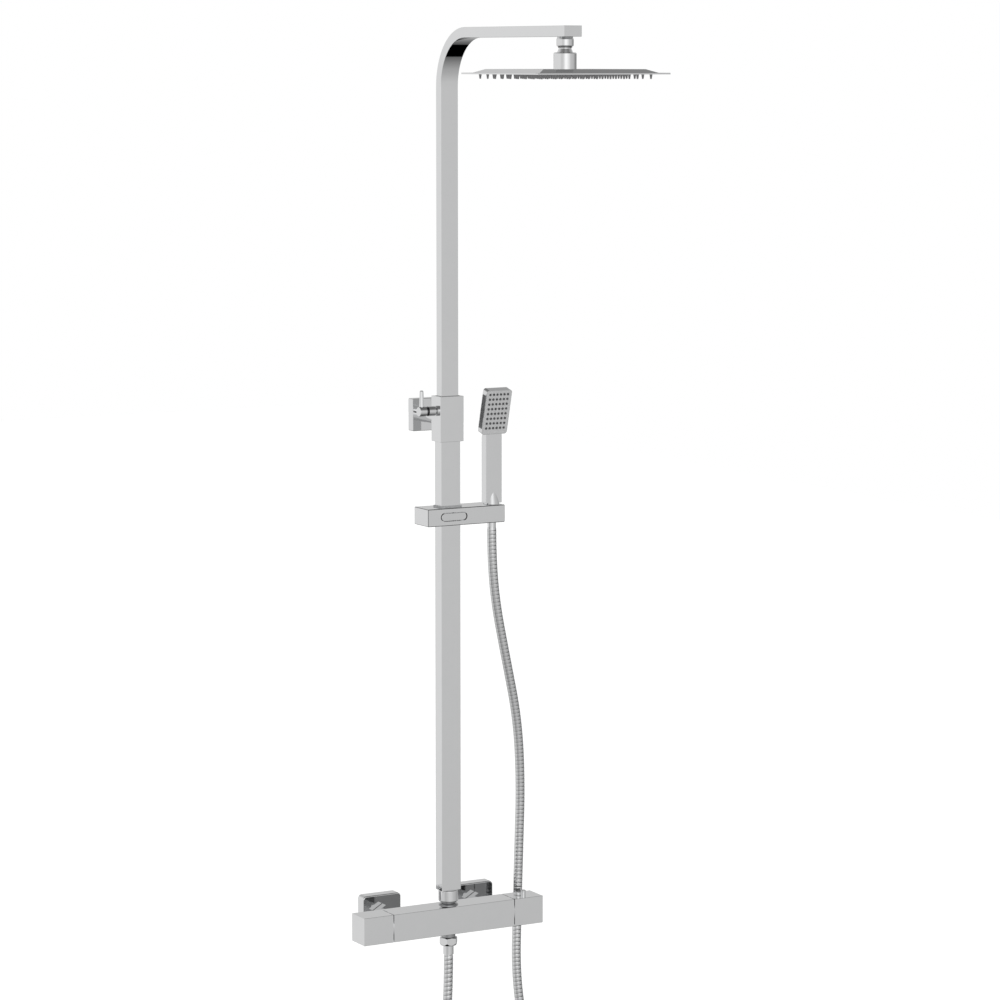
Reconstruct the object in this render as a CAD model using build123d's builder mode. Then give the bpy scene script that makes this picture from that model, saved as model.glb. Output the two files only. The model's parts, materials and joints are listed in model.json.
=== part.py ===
"""Thermostatic bar shower with a telescopic riser, square rain head and hand shower.

Units are millimetres. X runs along the valve bar, +Y runs into the wall and +Z is up.
The origin is on the wall plane, midway between the two inlets, at the height of the bar axis.
"""

from math import atan2, cos, pi, radians, sin, tan
import os

from build123d import *

os.makedirs("parts", exist_ok=True)

# ---------------------------------------------------------------- driving dimensions
running_gap = 0.05          # radial clearance of a running fit
sliding_gap = 0.2           # clearance all round between a tube and its guide
seat_gap = 0.3              # clearance between curved faces of different bodies

# valve bar
inlet_spacing = 150.0
bar_reach = 76.5            # wall to bar axis
bar_depth = 38.4
bar_height = 39.3
bar_length = 287.0
bar_edge = 0.5
handle_length = 45.9
handle_gap = 1.1
stop_inner_radius = 16.1     # round stop that stands in the joint of each handle
stop_gap = 0.1
pocket_radius = 14.0
pocket_depth = 40.0
waterway_radius = 6.0
outlet_radius = 7.0
inlet_radius = 8.0

# cartridges and handle spindles
cartridge_length = 30.0
neck_radius = 10.0
neck_length = 20.0
nut_across_flats = 27.0
nut_head = 6.0
spindle_radius = 4.0
spindle_length = 35.0
handle_cavity_radius = 16.4
handle_cavity_depth = 18.0
handle_screw_radius = 2.0
handle_screw_length = 8.0
button_radius = 3.5
button_height = 7.0
button_travel = 2.0
button_stem_radius = 1.6
button_wire = 0.5

# wall connections
union_radius = 13.2
union_nut_across_flats = 30.0
union_nut_length = 11.0
union_neck = 1.0            # flange to nut
tail_radius = 11.0
tail_lip = 2.0
washer_thickness = 2.0
wall_thread_radius = 10.45
wall_thread_length = 14.0
flange_size = 60.0
flange_depth = 16.7
flange_corner = 5.5
flange_wall = 1.8
flange_edge = 1.5

# riser: fixed lower tube, sliding upper tube
lower_tube_width = 30.4
lower_tube_depth = 18.8
lower_tube_wall = 1.5
tube_corner = 0.5
foot_level = 42.0           # underside of the lower tube
riser_nut_radius = 14.2
riser_nut_edge = 2.5
riser_nut_rim = 1.5
nipple_radius = 9.2
rosette_radius = 14.0
rosette_thickness = 3.2
rosette_rim = 0.8
rosette_neck = 1.5
upper_tube_width = 26.8
upper_tube_depth = 14.2
upper_tube_wall = 1.4
insertion = 330.0           # upper tube hidden inside the lower tube
collar_width = 36.8
collar_depth = 27.0
collar_corner = 0.6
collar_edge = 0.4
collar_length = 63.5
collar_level = 681.3        # underside of the collar
arm_level = 1246.8          # centre line of the arm
arm_overhang = 20.2         # head centre to the arm tip
bend_radius = 74.0          # centre line
cap_thickness = 2.0

# wall bracket and telescope lock
cover_width = 43.0
cover_height = 46.0
cover_depth = 13.0
cover_wall = 1.6
bracket_arm_radius = 11.1
spigot_radius = 7.0
bracket_screw_spacing = 28.0
bracket_screw_radius = 2.2
bracket_shank_radius = 1.7
bracket_thread_start = 1.0  # behind the wall plane
wall_screw_length = 30.0
knob_height = 11.7          # above the middle of the collar
knob_forward = 3.5          # in front of the riser axis
knob_radius = 6.8
knob_length = 25.0
knob_edge = 0.7
knob_gap = 1.0              # knob to the collar's boss
groove_offset = 10.8
groove_width = 3.7
groove_depth = 1.6
lock_screw_radius = 3.0
lever_length = 29.4
lever_radius = 3.4
lever_inset = 4.7           # free end of the knob to the lever
pad_radius = 1.9
pad_gap = 0.05

# rain head and its ball joint
head_size = 200.0
head_reach = 325.0          # riser axis to head centre
rim_level = 1191.2          # underside of the head
rim_thickness = 2.0
head_base = 177.0
head_crown = 152.5
head_rise = 4.7
head_wall = 1.2
plate_thickness = 1.5
nozzle_count = 9
nozzle_pitch = 20.3
nozzle_root = 2.2
nozzle_drop = 6.0
ball_radius = 9.5
ball_level = 1208.5
seat_thickness = 1.25
socket_radius = 15.0
socket_wall = 1.25
socket_edge = 1.6
socket_rim = 1.8
stem_radius = 6.0
swivel_radius = 11.2
swivel_edge = 1.8
swivel_taper = 1.1
swivel_taper_height = 3.4
swivel_neck = 8.3
skirt_radius = 10.3
swivel_height = 12.7

# hand shower holder
slider_length = 122.2
slider_depth = 41.9
slider_height = 24.6
slider_level = 576.9        # middle of the slider
slider_offset = 19.2        # riser axis to the middle of the slider
slider_edge = 0.9
liner_wall = 1.5
liner_lip = 2.0
rocker_length = 42.0
rocker_offset = -0.9        # riser axis to the middle of the rocker
rocker_height = 12.4
rocker_thickness = 5.4
rocker_gap = 0.9
rocker_proud = 1.1          # at its left end, where it is pressed
rocker_sunk = 0.9           # at its right end
rocker_press = 2.2
pivot_offset = 4.0
pivot_radius = 1.0
shoe_offset = 13.0

# hand shower
handset_offset = 70.4       # riser axis to handset axis
handle_width = 25.35
handle_thick = 13.4
handle_corner = 0.4
handset_wall = 2.0
boss_radius = 11.1
boss_height = 18.0
boss_tip_radius = 6.6
handset_head_width = 40.3
handset_head_length = 65.5
handset_head_thick = 11.3
handset_lean = 14.9         # degrees
handset_head_level = 687.8  # lower edge of the head
face_border = 0.7
face_forward = 6.7          # handle axis to the head's lower front edge
face_recess = 1.2
side_panel_length = 49.0     # shallow panel in each side of the head
side_panel_edge = 0.9
side_panel_depth = 0.2
cone_top_radius = 11.9
cone_bottom_radius = 10.3

# hose
hose_radius = 6.6
hose_end_radius = 7.3
hose_nut_across_flats = 23.2
hose_nut_turn = -6.6         # degrees

# ---------------------------------------------------------------- derived places
bar_y = -bar_reach
bar_back = bar_y + bar_depth / 2
bar_top = bar_height / 2
body_half = bar_length / 2 - handle_length - handle_gap
handle_start = body_half + handle_gap
flange_front = -flange_depth
nut_back = flange_front - union_neck
nut_front = nut_back - union_nut_length
tail_end = nut_front + 2 * tail_lip
collar_top = collar_level + collar_length
collar_middle = collar_level + collar_length / 2
collar_back = bar_y + collar_depth / 2
collar_side = -collar_width / 2
cartridge_end = body_half - 8.0
slider_top = slider_level + slider_height / 2
slider_bottom = slider_level - slider_height / 2
slider_front = bar_y - slider_depth / 2
head_y = bar_y - head_reach


# ---------------------------------------------------------------- valve body
with BuildPart() as valve_body:
    with BuildSketch(Plane.YZ.offset(-body_half)):
        with Locations((bar_y, 0)):
            RectangleRounded(bar_depth, bar_height, bar_edge)
    extrude(amount=2 * body_half)
    for x in (-inlet_spacing / 2, inlet_spacing / 2):
        with BuildSketch(Plane.XZ.offset(-bar_back)):
            with Locations((x, 0)):
                Circle(tail_radius)
        extrude(amount=-(tail_end - tail_lip - bar_back))
        with BuildSketch(Plane.XZ.offset(-tail_end)):
            with Locations((x, 0)):
                Circle(union_radius - seat_gap)
        extrude(amount=tail_lip)
        with BuildSketch(Plane.XZ.offset(-tail_end)):
            with Locations((x, 0)):
                Circle(inlet_radius)
        extrude(amount=tail_end - bar_y, mode=Mode.SUBTRACT)
    for side in (-1, 1):
        with BuildSketch(Plane.YZ.offset(side * body_half)):
            with Locations((bar_y, 0)):
                Circle(pocket_radius)
        extrude(amount=-side * pocket_depth, mode=Mode.SUBTRACT)
        with BuildSketch(Plane.YZ.offset(side * body_half)):
            with Locations((bar_y, 0)):
                Circle(bar_depth / 2 - stop_gap)
                Circle(stop_inner_radius, mode=Mode.SUBTRACT)
        extrude(amount=side * (handle_gap - stop_gap))
    with BuildSketch(Plane.YZ.offset(-body_half)):
        with Locations((bar_y, 0)):
            Circle(waterway_radius)
    extrude(amount=2 * body_half, mode=Mode.SUBTRACT)
    with BuildSketch(Plane.XY.offset(-bar_top)):
        with Locations((0, bar_y)):
            Circle(outlet_radius)
    extrude(amount=bar_height, mode=Mode.SUBTRACT)
valve_body.part.label = "valve_body"
export_step(valve_body.part, "parts/valve_body.step")


# ---------------------------------------------------------------- cartridges
def cartridge(side, length, body_radius):
    """A stepped cartridge whose neck leaves the end of the bar."""
    with BuildPart() as piece:
        with BuildSketch(Plane.YZ.offset(side * (cartridge_end - length))):
            with Locations((bar_y, 0)):
                Circle(body_radius)
        extrude(amount=side * length)
        with BuildSketch(Plane.YZ.offset(side * cartridge_end)):
            with Locations((bar_y, 0)):
                Circle(neck_radius)
        extrude(amount=side * neck_length)
        with BuildSketch(Plane.YZ.offset(side * (cartridge_end + neck_length))):
            with Locations((bar_y, 0)):
                Circle(spindle_radius + running_gap)
        extrude(amount=-side * neck_length * 0.8, mode=Mode.SUBTRACT)
        with BuildSketch(Plane.YZ.offset(side * (cartridge_end - length))):
            with Locations((bar_y, 0)):
                Circle(waterway_radius)
        extrude(amount=side * length * 0.6, mode=Mode.SUBTRACT)
    return piece.part


with BuildPart() as thermostatic_cartridge:
    add(cartridge(1, cartridge_length, pocket_radius - running_gap))
thermostatic_cartridge.part.label = "thermostatic_cartridge"
export_step(thermostatic_cartridge.part, "parts/thermostatic_cartridge.step")

with BuildPart() as diverter_cartridge:
    add(cartridge(-1, cartridge_length * 0.8, pocket_radius - running_gap))
diverter_cartridge.part.label = "diverter_cartridge"
export_step(diverter_cartridge.part, "parts/diverter_cartridge.step")

with BuildPart() as cartridge_nuts:
    for side in (-1, 1):
        with BuildSketch(Plane.YZ.offset(side * cartridge_end)):
            with Locations((bar_y, 0)):
                Circle(pocket_radius - running_gap)
                Circle(neck_radius + running_gap, mode=Mode.SUBTRACT)
        extrude(amount=side * (body_half - cartridge_end))
        with BuildSketch(Plane.YZ.offset(side * body_half)):
            with Locations((bar_y, 0)):
                RegularPolygon(nut_across_flats / 2, 6, major_radius=False)
                Circle(neck_radius + running_gap, mode=Mode.SUBTRACT)
        extrude(amount=side * nut_head)
cartridge_nuts.part.label = "cartridge_nuts"
export_step(cartridge_nuts.part, "parts/cartridge_nuts.step")

with BuildPart() as check_valves:
    for x in (-inlet_spacing / 2, inlet_spacing / 2):
        with BuildSketch(Plane.XZ.offset(-tail_end)):
            with Locations((x, 0)):
                Circle(inlet_radius - running_gap)
                Circle(inlet_radius - 3.0, mode=Mode.SUBTRACT)
        extrude(amount=tail_end - bar_back)
        with BuildSketch(Plane.XZ.offset(-(tail_end + bar_back) / 2)):
            with Locations((x, 0)):
                Circle(inlet_radius - 2.9)
        extrude(amount=1.5)
check_valves.part.label = "check_valves"
export_step(check_valves.part, "parts/check_valves.step")


# ---------------------------------------------------------------- handles on the bar
spindle_start = cartridge_end + neck_length * 0.2 + 1.0
spindle_end = spindle_start + spindle_length
screw_x = (handle_start + handle_cavity_depth + spindle_end) / 2


def bar_handle(side):
    """A square handle: a cavity over the cartridge nut, then a bore for the spindle."""
    with BuildPart() as piece:
        with BuildSketch(Plane.YZ.offset(side * handle_start)):
            with Locations((bar_y, 0)):
                RectangleRounded(bar_depth, bar_height, bar_edge)
        extrude(amount=side * handle_length)
        fillet(piece.faces().sort_by(Axis.X)[-1 if side > 0 else 0].edges(), bar_edge / 2)
        with BuildSketch(Plane.YZ.offset(side * handle_start)):
            with Locations((bar_y, 0)):
                Circle(handle_cavity_radius)
        extrude(amount=side * handle_cavity_depth, mode=Mode.SUBTRACT)
        with BuildSketch(Plane.YZ.offset(side * handle_start)):
            with Locations((bar_y, 0)):
                Circle(spindle_radius + running_gap)
        extrude(amount=side * (spindle_end + 1.0 - handle_start), mode=Mode.SUBTRACT)
        with BuildSketch(Plane.XY.offset(-bar_top)):
            with Locations((side * screw_x, bar_y)):
                Circle(handle_screw_radius + running_gap)
        extrude(amount=bar_top, mode=Mode.SUBTRACT)
    return piece.part


def bar_spindle(side):
    """The round spindle that turns a cartridge."""
    with BuildPart() as piece:
        with BuildSketch(Plane.YZ.offset(side * spindle_start)):
            with Locations((bar_y, 0)):
                Circle(spindle_radius)
        extrude(amount=side * spindle_length)
        chamfer(piece.edges().filter_by(GeomType.CIRCLE), 0.4)
    return piece.part


def bar_screw(side):
    """The grub screw under a handle, which bears on the spindle."""
    with BuildPart() as piece:
        with BuildSketch(Plane.XY.offset(-spindle_radius - running_gap)):
            with Locations((side * screw_x, bar_y)):
                Circle(handle_screw_radius)
        extrude(amount=-handle_screw_length)
        with BuildSketch(Plane.XY.offset(-spindle_radius - running_gap - handle_screw_length)):
            with Locations((side * screw_x, bar_y)):
                RegularPolygon(handle_screw_radius / 2, 6)
        extrude(amount=handle_screw_length / 3, mode=Mode.SUBTRACT)
    return piece.part


with BuildPart() as flow_handle:
    add(bar_handle(-1))
flow_handle.part.label = "flow_handle"
export_step(flow_handle.part, "parts/flow_handle.step")

with BuildPart() as flow_spindle:
    add(bar_spindle(-1))
flow_spindle.part.label = "flow_spindle"
export_step(flow_spindle.part, "parts/flow_spindle.step")

with BuildPart() as flow_handle_screw:
    add(bar_screw(-1))
flow_handle_screw.part.label = "flow_handle_screw"
export_step(flow_handle_screw.part, "parts/flow_handle_screw.step")

# the safety button drops into a stepped bore above the spindle
button_x = screw_x
button_bore_depth = button_travel + 1.4
stem_end = spindle_radius + button_travel + 1.6
spring_floor = bar_top - button_bore_depth - 5.0

with BuildPart() as temperature_handle:
    add(bar_handle(1))
    with BuildSketch(Plane.XY.offset(bar_top)):
        with Locations((button_x, bar_y)):
            Circle(button_radius + running_gap)
    extrude(amount=-(bar_top - spring_floor), mode=Mode.SUBTRACT)
    with BuildSketch(Plane.XY.offset(bar_top)):
        with Locations((button_x, bar_y)):
            Circle(button_stem_radius + running_gap)
    extrude(amount=-bar_top, mode=Mode.SUBTRACT)
temperature_handle.part.label = "temperature_handle"
export_step(temperature_handle.part, "parts/temperature_handle.step")

with BuildPart() as thermostat_spindle:
    add(bar_spindle(1))
thermostat_spindle.part.label = "thermostat_spindle"
export_step(thermostat_spindle.part, "parts/thermostat_spindle.step")

with BuildPart() as temperature_handle_screw:
    add(bar_screw(1))
temperature_handle_screw.part.label = "temperature_handle_screw"
export_step(temperature_handle_screw.part, "parts/temperature_handle_screw.step")

with BuildPart() as safety_button:
    with BuildSketch(Plane.XY.offset(bar_top - 1.0)):
        with Locations((button_x, bar_y)):
            Circle(button_radius)
    extrude(amount=button_height + 1.0)
    fillet(safety_button.edges().group_by(Axis.Z)[-1], 1.0)
    with BuildSketch(Plane.XY.offset(stem_end)):
        with Locations((button_x, bar_y)):
            Circle(button_stem_radius)
    extrude(amount=bar_top - 1.0 - stem_end)
safety_button.part.label = "safety_button"
export_step(safety_button.part, "parts/safety_button.step")

with BuildPart() as safety_button_spring:
    spring_start = spring_floor + button_wire / 2
    spring_reach = bar_top - 1.0 - button_wire / 2 - spring_start
    spring_radius = button_radius - button_wire
    with BuildLine() as button_coil:
        Helix(pitch=spring_reach / 4, height=spring_reach, radius=spring_radius,
              center=(button_x, bar_y, spring_start))
    with BuildSketch(Plane(origin=button_coil.line @ 0, z_dir=button_coil.line % 0)):
        Circle(button_wire / 2)
    sweep(path=button_coil.line, is_frenet=True)
safety_button_spring.part.label = "safety_button_spring"
export_step(safety_button_spring.part, "parts/safety_button_spring.step")


# ---------------------------------------------------------------- wall connections
with BuildPart() as union_nuts:
    for x in (-inlet_spacing / 2, inlet_spacing / 2):
        with BuildSketch(Plane.XZ.offset(-nut_back)):
            with Locations((x, 0)):
                RegularPolygon(union_nut_across_flats / 2, 6, major_radius=False, rotation=30)
        extrude(amount=union_nut_length)
        with BuildSketch(Plane.XZ.offset(-nut_back)):
            with Locations((x, 0)):
                Circle(union_radius + running_gap)
        extrude(amount=union_nut_length - tail_lip, mode=Mode.SUBTRACT)
        with BuildSketch(Plane.XZ.offset(-nut_back)):
            with Locations((x, 0)):
                Circle(tail_radius + running_gap)
        extrude(amount=union_nut_length, mode=Mode.SUBTRACT)
union_nuts.part.label = "union_nuts"
export_step(union_nuts.part, "parts/union_nuts.step")

union_start = tail_end + washer_thickness

union_shoulder = flange_front / 2

with BuildPart() as wall_unions:
    for x in (-inlet_spacing / 2, inlet_spacing / 2):
        with BuildSketch(Plane.XZ.offset(-union_shoulder)):
            with Locations((x, 0)):
                Circle(union_radius)
        extrude(amount=union_shoulder - union_start)
        with BuildSketch(Plane.XZ.offset(-wall_thread_length)):
            with Locations((x, 0)):
                Circle(wall_thread_radius)
        extrude(amount=wall_thread_length - union_shoulder)
        with BuildSketch(Plane.XZ.offset(-wall_thread_length)):
            with Locations((x, 0)):
                Circle(inlet_radius - 0.5)
        extrude(amount=wall_thread_length - union_start, mode=Mode.SUBTRACT)
wall_unions.part.label = "wall_unions"
export_step(wall_unions.part, "parts/wall_unions.step")


with BuildPart() as wall_flanges:
    for x in (-inlet_spacing / 2, inlet_spacing / 2):
        with BuildSketch(Plane.XZ):
            with Locations((x, 0)):
                RectangleRounded(flange_size, flange_size, flange_corner)
        extrude(amount=flange_depth)
    fillet(wall_flanges.faces().group_by(Axis.Y)[0].edges(), flange_edge)
    for x in (-inlet_spacing / 2, inlet_spacing / 2):
        with BuildSketch(Plane.XZ):
            with Locations((x, 0)):
                inner = flange_size - 2 * flange_wall
                RectangleRounded(inner, inner, flange_corner - flange_wall)
        extrude(amount=flange_depth - flange_wall, mode=Mode.SUBTRACT)
        with BuildSketch(Plane.XZ):
            with Locations((x, 0)):
                Circle(union_radius + sliding_gap)
        extrude(amount=flange_depth, mode=Mode.SUBTRACT)
wall_flanges.part.label = "wall_flanges"
export_step(wall_flanges.part, "parts/wall_flanges.step")


# ---------------------------------------------------------------- top outlet and riser foot
riser_nut_bottom = bar_top + rosette_thickness + 1.8
nipple_top = foot_level - 6.0
foot_inner_width = lower_tube_width - 2 * lower_tube_wall
foot_inner_depth = lower_tube_depth - 2 * lower_tube_wall

with BuildPart() as top_outlet_nipple:
    with BuildSketch(Plane.XY.offset(bar_top)):
        with Locations((0, bar_y)):
            Circle(nipple_radius)
    extrude(amount=nipple_top - bar_top)
    with BuildSketch(Plane.XY.offset(bar_top)):
        with Locations((0, bar_y)):
            Circle(outlet_radius)
    extrude(amount=nipple_top - bar_top, mode=Mode.SUBTRACT)
top_outlet_nipple.part.label = "top_outlet_nipple"
export_step(top_outlet_nipple.part, "parts/top_outlet_nipple.step")

with BuildPart() as outlet_rosette:
    with BuildSketch(Plane.XY.offset(bar_top)):
        with Locations((0, bar_y)):
            Circle(rosette_radius)
    extrude(amount=rosette_rim)
    with BuildSketch(Plane.XY.offset(bar_top + rosette_rim)):
        with Locations((0, bar_y)):
            Circle(rosette_radius)
    with BuildSketch(Plane.XY.offset(bar_top + rosette_thickness)):
        with Locations((0, bar_y)):
            Circle(nipple_radius + rosette_neck)
    loft()
    with BuildSketch(Plane.XY.offset(bar_top)):
        with Locations((0, bar_y)):
            Circle(nipple_radius + running_gap)
    extrude(amount=rosette_thickness, mode=Mode.SUBTRACT)
outlet_rosette.part.label = "outlet_rosette"
export_step(outlet_rosette.part, "parts/outlet_rosette.step")

foot_neck_radius = 8.0
foot_lip = 2.0
foot_lip_bottom = nipple_top + washer_thickness

with BuildPart() as riser_nut:
    with BuildSketch(Plane.XY.offset(riser_nut_bottom)):
        with Locations((0, bar_y)):
            Circle(riser_nut_radius)
    extrude(amount=foot_level - riser_nut_bottom)
    fillet(riser_nut.edges().group_by(Axis.Z)[0], riser_nut_edge)
    fillet(riser_nut.edges().group_by(Axis.Z)[-1], riser_nut_rim)
    with BuildSketch(Plane.XY.offset(riser_nut_bottom)):
        with Locations((0, bar_y)):
            Circle(nipple_radius + running_gap)
    extrude(amount=foot_lip_bottom + foot_lip - riser_nut_bottom, mode=Mode.SUBTRACT)
    with BuildSketch(Plane.XY.offset(riser_nut_bottom)):
        with Locations((0, bar_y)):
            Circle(foot_neck_radius + running_gap)
    extrude(amount=foot_level - riser_nut_bottom, mode=Mode.SUBTRACT)
riser_nut.part.label = "riser_nut"
export_step(riser_nut.part, "parts/riser_nut.step")

foot_plug_height = 22.0
foot_screw_level = foot_level + 5.0

with BuildPart() as riser_foot:
    with BuildSketch(Plane.XY.offset(foot_lip_bottom)):
        with Locations((0, bar_y)):
            Circle(nipple_radius)
    extrude(amount=foot_lip)
    with BuildSketch(Plane.XY.offset(foot_lip_bottom)):
        with Locations((0, bar_y)):
            Circle(foot_neck_radius)
    extrude(amount=foot_level - foot_lip_bottom)
    with BuildSketch(Plane.XY.offset(foot_level)):
        with Locations((0, bar_y)):
            Rectangle(foot_inner_width - 2 * running_gap, foot_inner_depth - 2 * running_gap)
    extrude(amount=foot_plug_height)
    with BuildSketch(Plane.XY.offset(foot_lip_bottom)):
        with Locations((0, bar_y)):
            Circle(outlet_radius - 2.0)
    extrude(amount=foot_plug_height * 2, mode=Mode.SUBTRACT)
    with BuildSketch(Plane.YZ.offset(-lower_tube_width / 2)):
        with Locations((bar_y, foot_screw_level)):
            Circle(handle_screw_radius + running_gap)
    extrude(amount=8.0, mode=Mode.SUBTRACT)
riser_foot.part.label = "riser_foot"
export_step(riser_foot.part, "parts/riser_foot.step")

# ---------------------------------------------------------------- lower tube and collar
lower_tube_top = collar_top - 8.0
lock_level = collar_middle + knob_height
lock_y = bar_y - knob_forward

with BuildPart() as lower_tube:
    with BuildSketch(Plane.XY.offset(foot_level)):
        with Locations((0, bar_y)):
            RectangleRounded(lower_tube_width, lower_tube_depth, tube_corner)
            Rectangle(foot_inner_width, foot_inner_depth, mode=Mode.SUBTRACT)
    extrude(amount=lower_tube_top - foot_level)
    with BuildSketch(Plane.YZ.offset(-lower_tube_width / 2)):
        with Locations((bar_y, foot_screw_level)):
            Circle(handle_screw_radius + running_gap)
        with Locations((lock_y, lock_level)):
            Circle(pad_radius + sliding_gap)
    extrude(amount=lower_tube_wall, mode=Mode.SUBTRACT)
lower_tube.part.label = "lower_tube"
export_step(lower_tube.part, "parts/lower_tube.step")

boss_length = 3.0
wiper_height = 6.0

with BuildPart() as riser_collar:
    with BuildSketch(Plane.XY.offset(collar_level)):
        with Locations((0, bar_y)):
            RectangleRounded(collar_width, collar_depth, collar_corner)
    extrude(amount=collar_length)
    fillet(riser_collar.edges().group_by(Axis.Z)[0], collar_edge)
    fillet(riser_collar.edges().group_by(Axis.Z)[-1], collar_edge)
    with BuildSketch(Plane.YZ.offset(collar_side + 1.0)):
        with Locations((lock_y, lock_level)):
            Circle(knob_radius + 0.5)
    extrude(amount=-boss_length - 1.0)
    with BuildSketch(Plane.XY.offset(collar_level)):
        with Locations((0, bar_y)):
            RectangleRounded(lower_tube_width + 2 * running_gap, lower_tube_depth + 2 * running_gap,
                             tube_corner)
    extrude(amount=collar_length, mode=Mode.SUBTRACT)
    with BuildSketch(Plane.YZ.offset(collar_side - boss_length)):
        with Locations((lock_y, lock_level)):
            Circle(lock_screw_radius + running_gap)
    extrude(amount=boss_length + collar_width / 2 - lower_tube_width / 2, mode=Mode.SUBTRACT)
    with BuildSketch(Plane.XZ.offset(-collar_back)):
        with Locations((0, collar_middle)):
            Circle(spigot_radius - 1.0 + running_gap)
    extrude(amount=(collar_depth - lower_tube_depth) / 2, mode=Mode.SUBTRACT)
riser_collar.part.label = "riser_collar"
export_step(riser_collar.part, "parts/riser_collar.step")

with BuildPart() as collar_wiper:
    with BuildSketch(Plane.XY.offset(lower_tube_top)):
        with Locations((0, bar_y)):
            RectangleRounded(lower_tube_width, lower_tube_depth, tube_corner)
            RectangleRounded(upper_tube_width + 2 * sliding_gap, upper_tube_depth + 2 * sliding_gap,
                             tube_corner, mode=Mode.SUBTRACT)
    extrude(amount=wiper_height)
collar_wiper.part.label = "collar_wiper"
export_step(collar_wiper.part, "parts/collar_wiper.step")


# ---------------------------------------------------------------- wall bracket
cover_front = -cover_depth
spigot_end = cover_front - 22.0
base_depth = cover_depth - cover_wall - 3.0

with BuildPart() as bracket_cover:
    with BuildSketch(Plane.XZ):
        with Locations((0, collar_middle)):
            RectangleRounded(cover_width, cover_height, 2.0)
    extrude(amount=cover_depth)
    fillet(bracket_cover.faces().sort_by(Axis.Y)[0].edges(), 0.8)
    with BuildSketch(Plane.XZ):
        with Locations((0, collar_middle)):
            Rectangle(cover_width - 2 * cover_wall, cover_height - 2 * cover_wall)
    extrude(amount=cover_depth - cover_wall, mode=Mode.SUBTRACT)
    with BuildSketch(Plane.XZ):
        with Locations((0, collar_middle)):
            Circle(spigot_radius + sliding_gap)
    extrude(amount=cover_depth, mode=Mode.SUBTRACT)
bracket_cover.part.label = "bracket_cover"
export_step(bracket_cover.part, "parts/bracket_cover.step")

with BuildPart() as bracket_base:
    with BuildSketch(Plane.XZ):
        with Locations((0, collar_middle)):
            Rectangle(cover_width / 2, cover_height - 2 * cover_wall - 1.0)
    extrude(amount=base_depth)
    with BuildSketch(Plane.XZ):
        with Locations((0, collar_middle)):
            Circle(spigot_radius)
    extrude(amount=-spigot_end)
    for rise in (-bracket_screw_spacing / 2, bracket_screw_spacing / 2):
        with BuildSketch(Plane.XZ):
            with Locations((0, collar_middle + rise)):
                Circle(bracket_screw_radius)
        extrude(amount=base_depth, mode=Mode.SUBTRACT)
bracket_base.part.label = "bracket_base"
export_step(bracket_base.part, "parts/bracket_base.step")

screw_head_radius = 4.0

with BuildPart() as bracket_wall_screws:
    for rise in (-bracket_screw_spacing / 2, bracket_screw_spacing / 2):
        with BuildSketch(Plane.XZ.offset(base_depth)):
            with Locations((0, collar_middle + rise)):
                Circle(bracket_shank_radius)
        extrude(amount=-base_depth - bracket_thread_start)
        with BuildSketch(Plane.XZ.offset(-bracket_thread_start)):
            with Locations((0, collar_middle + rise)):
                Circle(bracket_screw_radius - running_gap)
        extrude(amount=-wall_screw_length + base_depth + bracket_thread_start)
        with BuildSketch(Plane.XZ.offset(base_depth)):
            with Locations((0, collar_middle + rise)):
                Circle(screw_head_radius)
        extrude(amount=cover_depth - cover_wall - base_depth - 0.1)
bracket_wall_screws.part.label = "bracket_wall_screws"
export_step(bracket_wall_screws.part, "parts/bracket_wall_screws.step")

grub_y = (cover_front + spigot_end) / 2

with BuildPart() as bracket_arm:
    with BuildSketch(Plane.XZ.offset(-cover_front)):
        with Locations((0, collar_middle)):
            Circle(bracket_arm_radius)
    extrude(amount=cover_front - collar_back)
    with BuildSketch(Plane.XZ.offset(-collar_back)):
        with Locations((0, collar_middle)):
            Circle(spigot_radius - 1.0)
    extrude(amount=(collar_depth - lower_tube_depth) / 2 - running_gap)
    with BuildSketch(Plane.XZ.offset(-cover_front)):
        with Locations((0, collar_middle)):
            Circle(spigot_radius + running_gap)
    extrude(amount=cover_front - spigot_end + 0.5, mode=Mode.SUBTRACT)
    with BuildSketch(Plane.XY.offset(collar_middle - bracket_arm_radius)):
        with Locations((0, grub_y)):
            Circle(handle_screw_radius + running_gap)
    extrude(amount=bracket_arm_radius, mode=Mode.SUBTRACT)
bracket_arm.part.label = "bracket_arm"
export_step(bracket_arm.part, "parts/bracket_arm.step")

with BuildPart() as grub_screws:
    with BuildSketch(Plane.XY.offset(collar_middle - spigot_radius)):
        with Locations((0, grub_y)):
            Circle(handle_screw_radius)
    extrude(amount=-(bracket_arm_radius - spigot_radius - 0.5))
    with BuildSketch(Plane.YZ.offset(-lower_tube_width / 2)):
        with Locations((bar_y, foot_screw_level)):
            Circle(handle_screw_radius)
    extrude(amount=8.0)
grub_screws.part.label = "grub_screws"
export_step(grub_screws.part, "parts/grub_screws.step")

# ---------------------------------------------------------------- telescope lock
knob_start = collar_side - boss_length - knob_gap
groove_start = knob_start - groove_offset
pad_tip = -upper_tube_width / 2 - pad_gap
pad_back = -lower_tube_width / 2 - 1.2
lever_x = knob_start - knob_length + lever_inset

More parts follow.
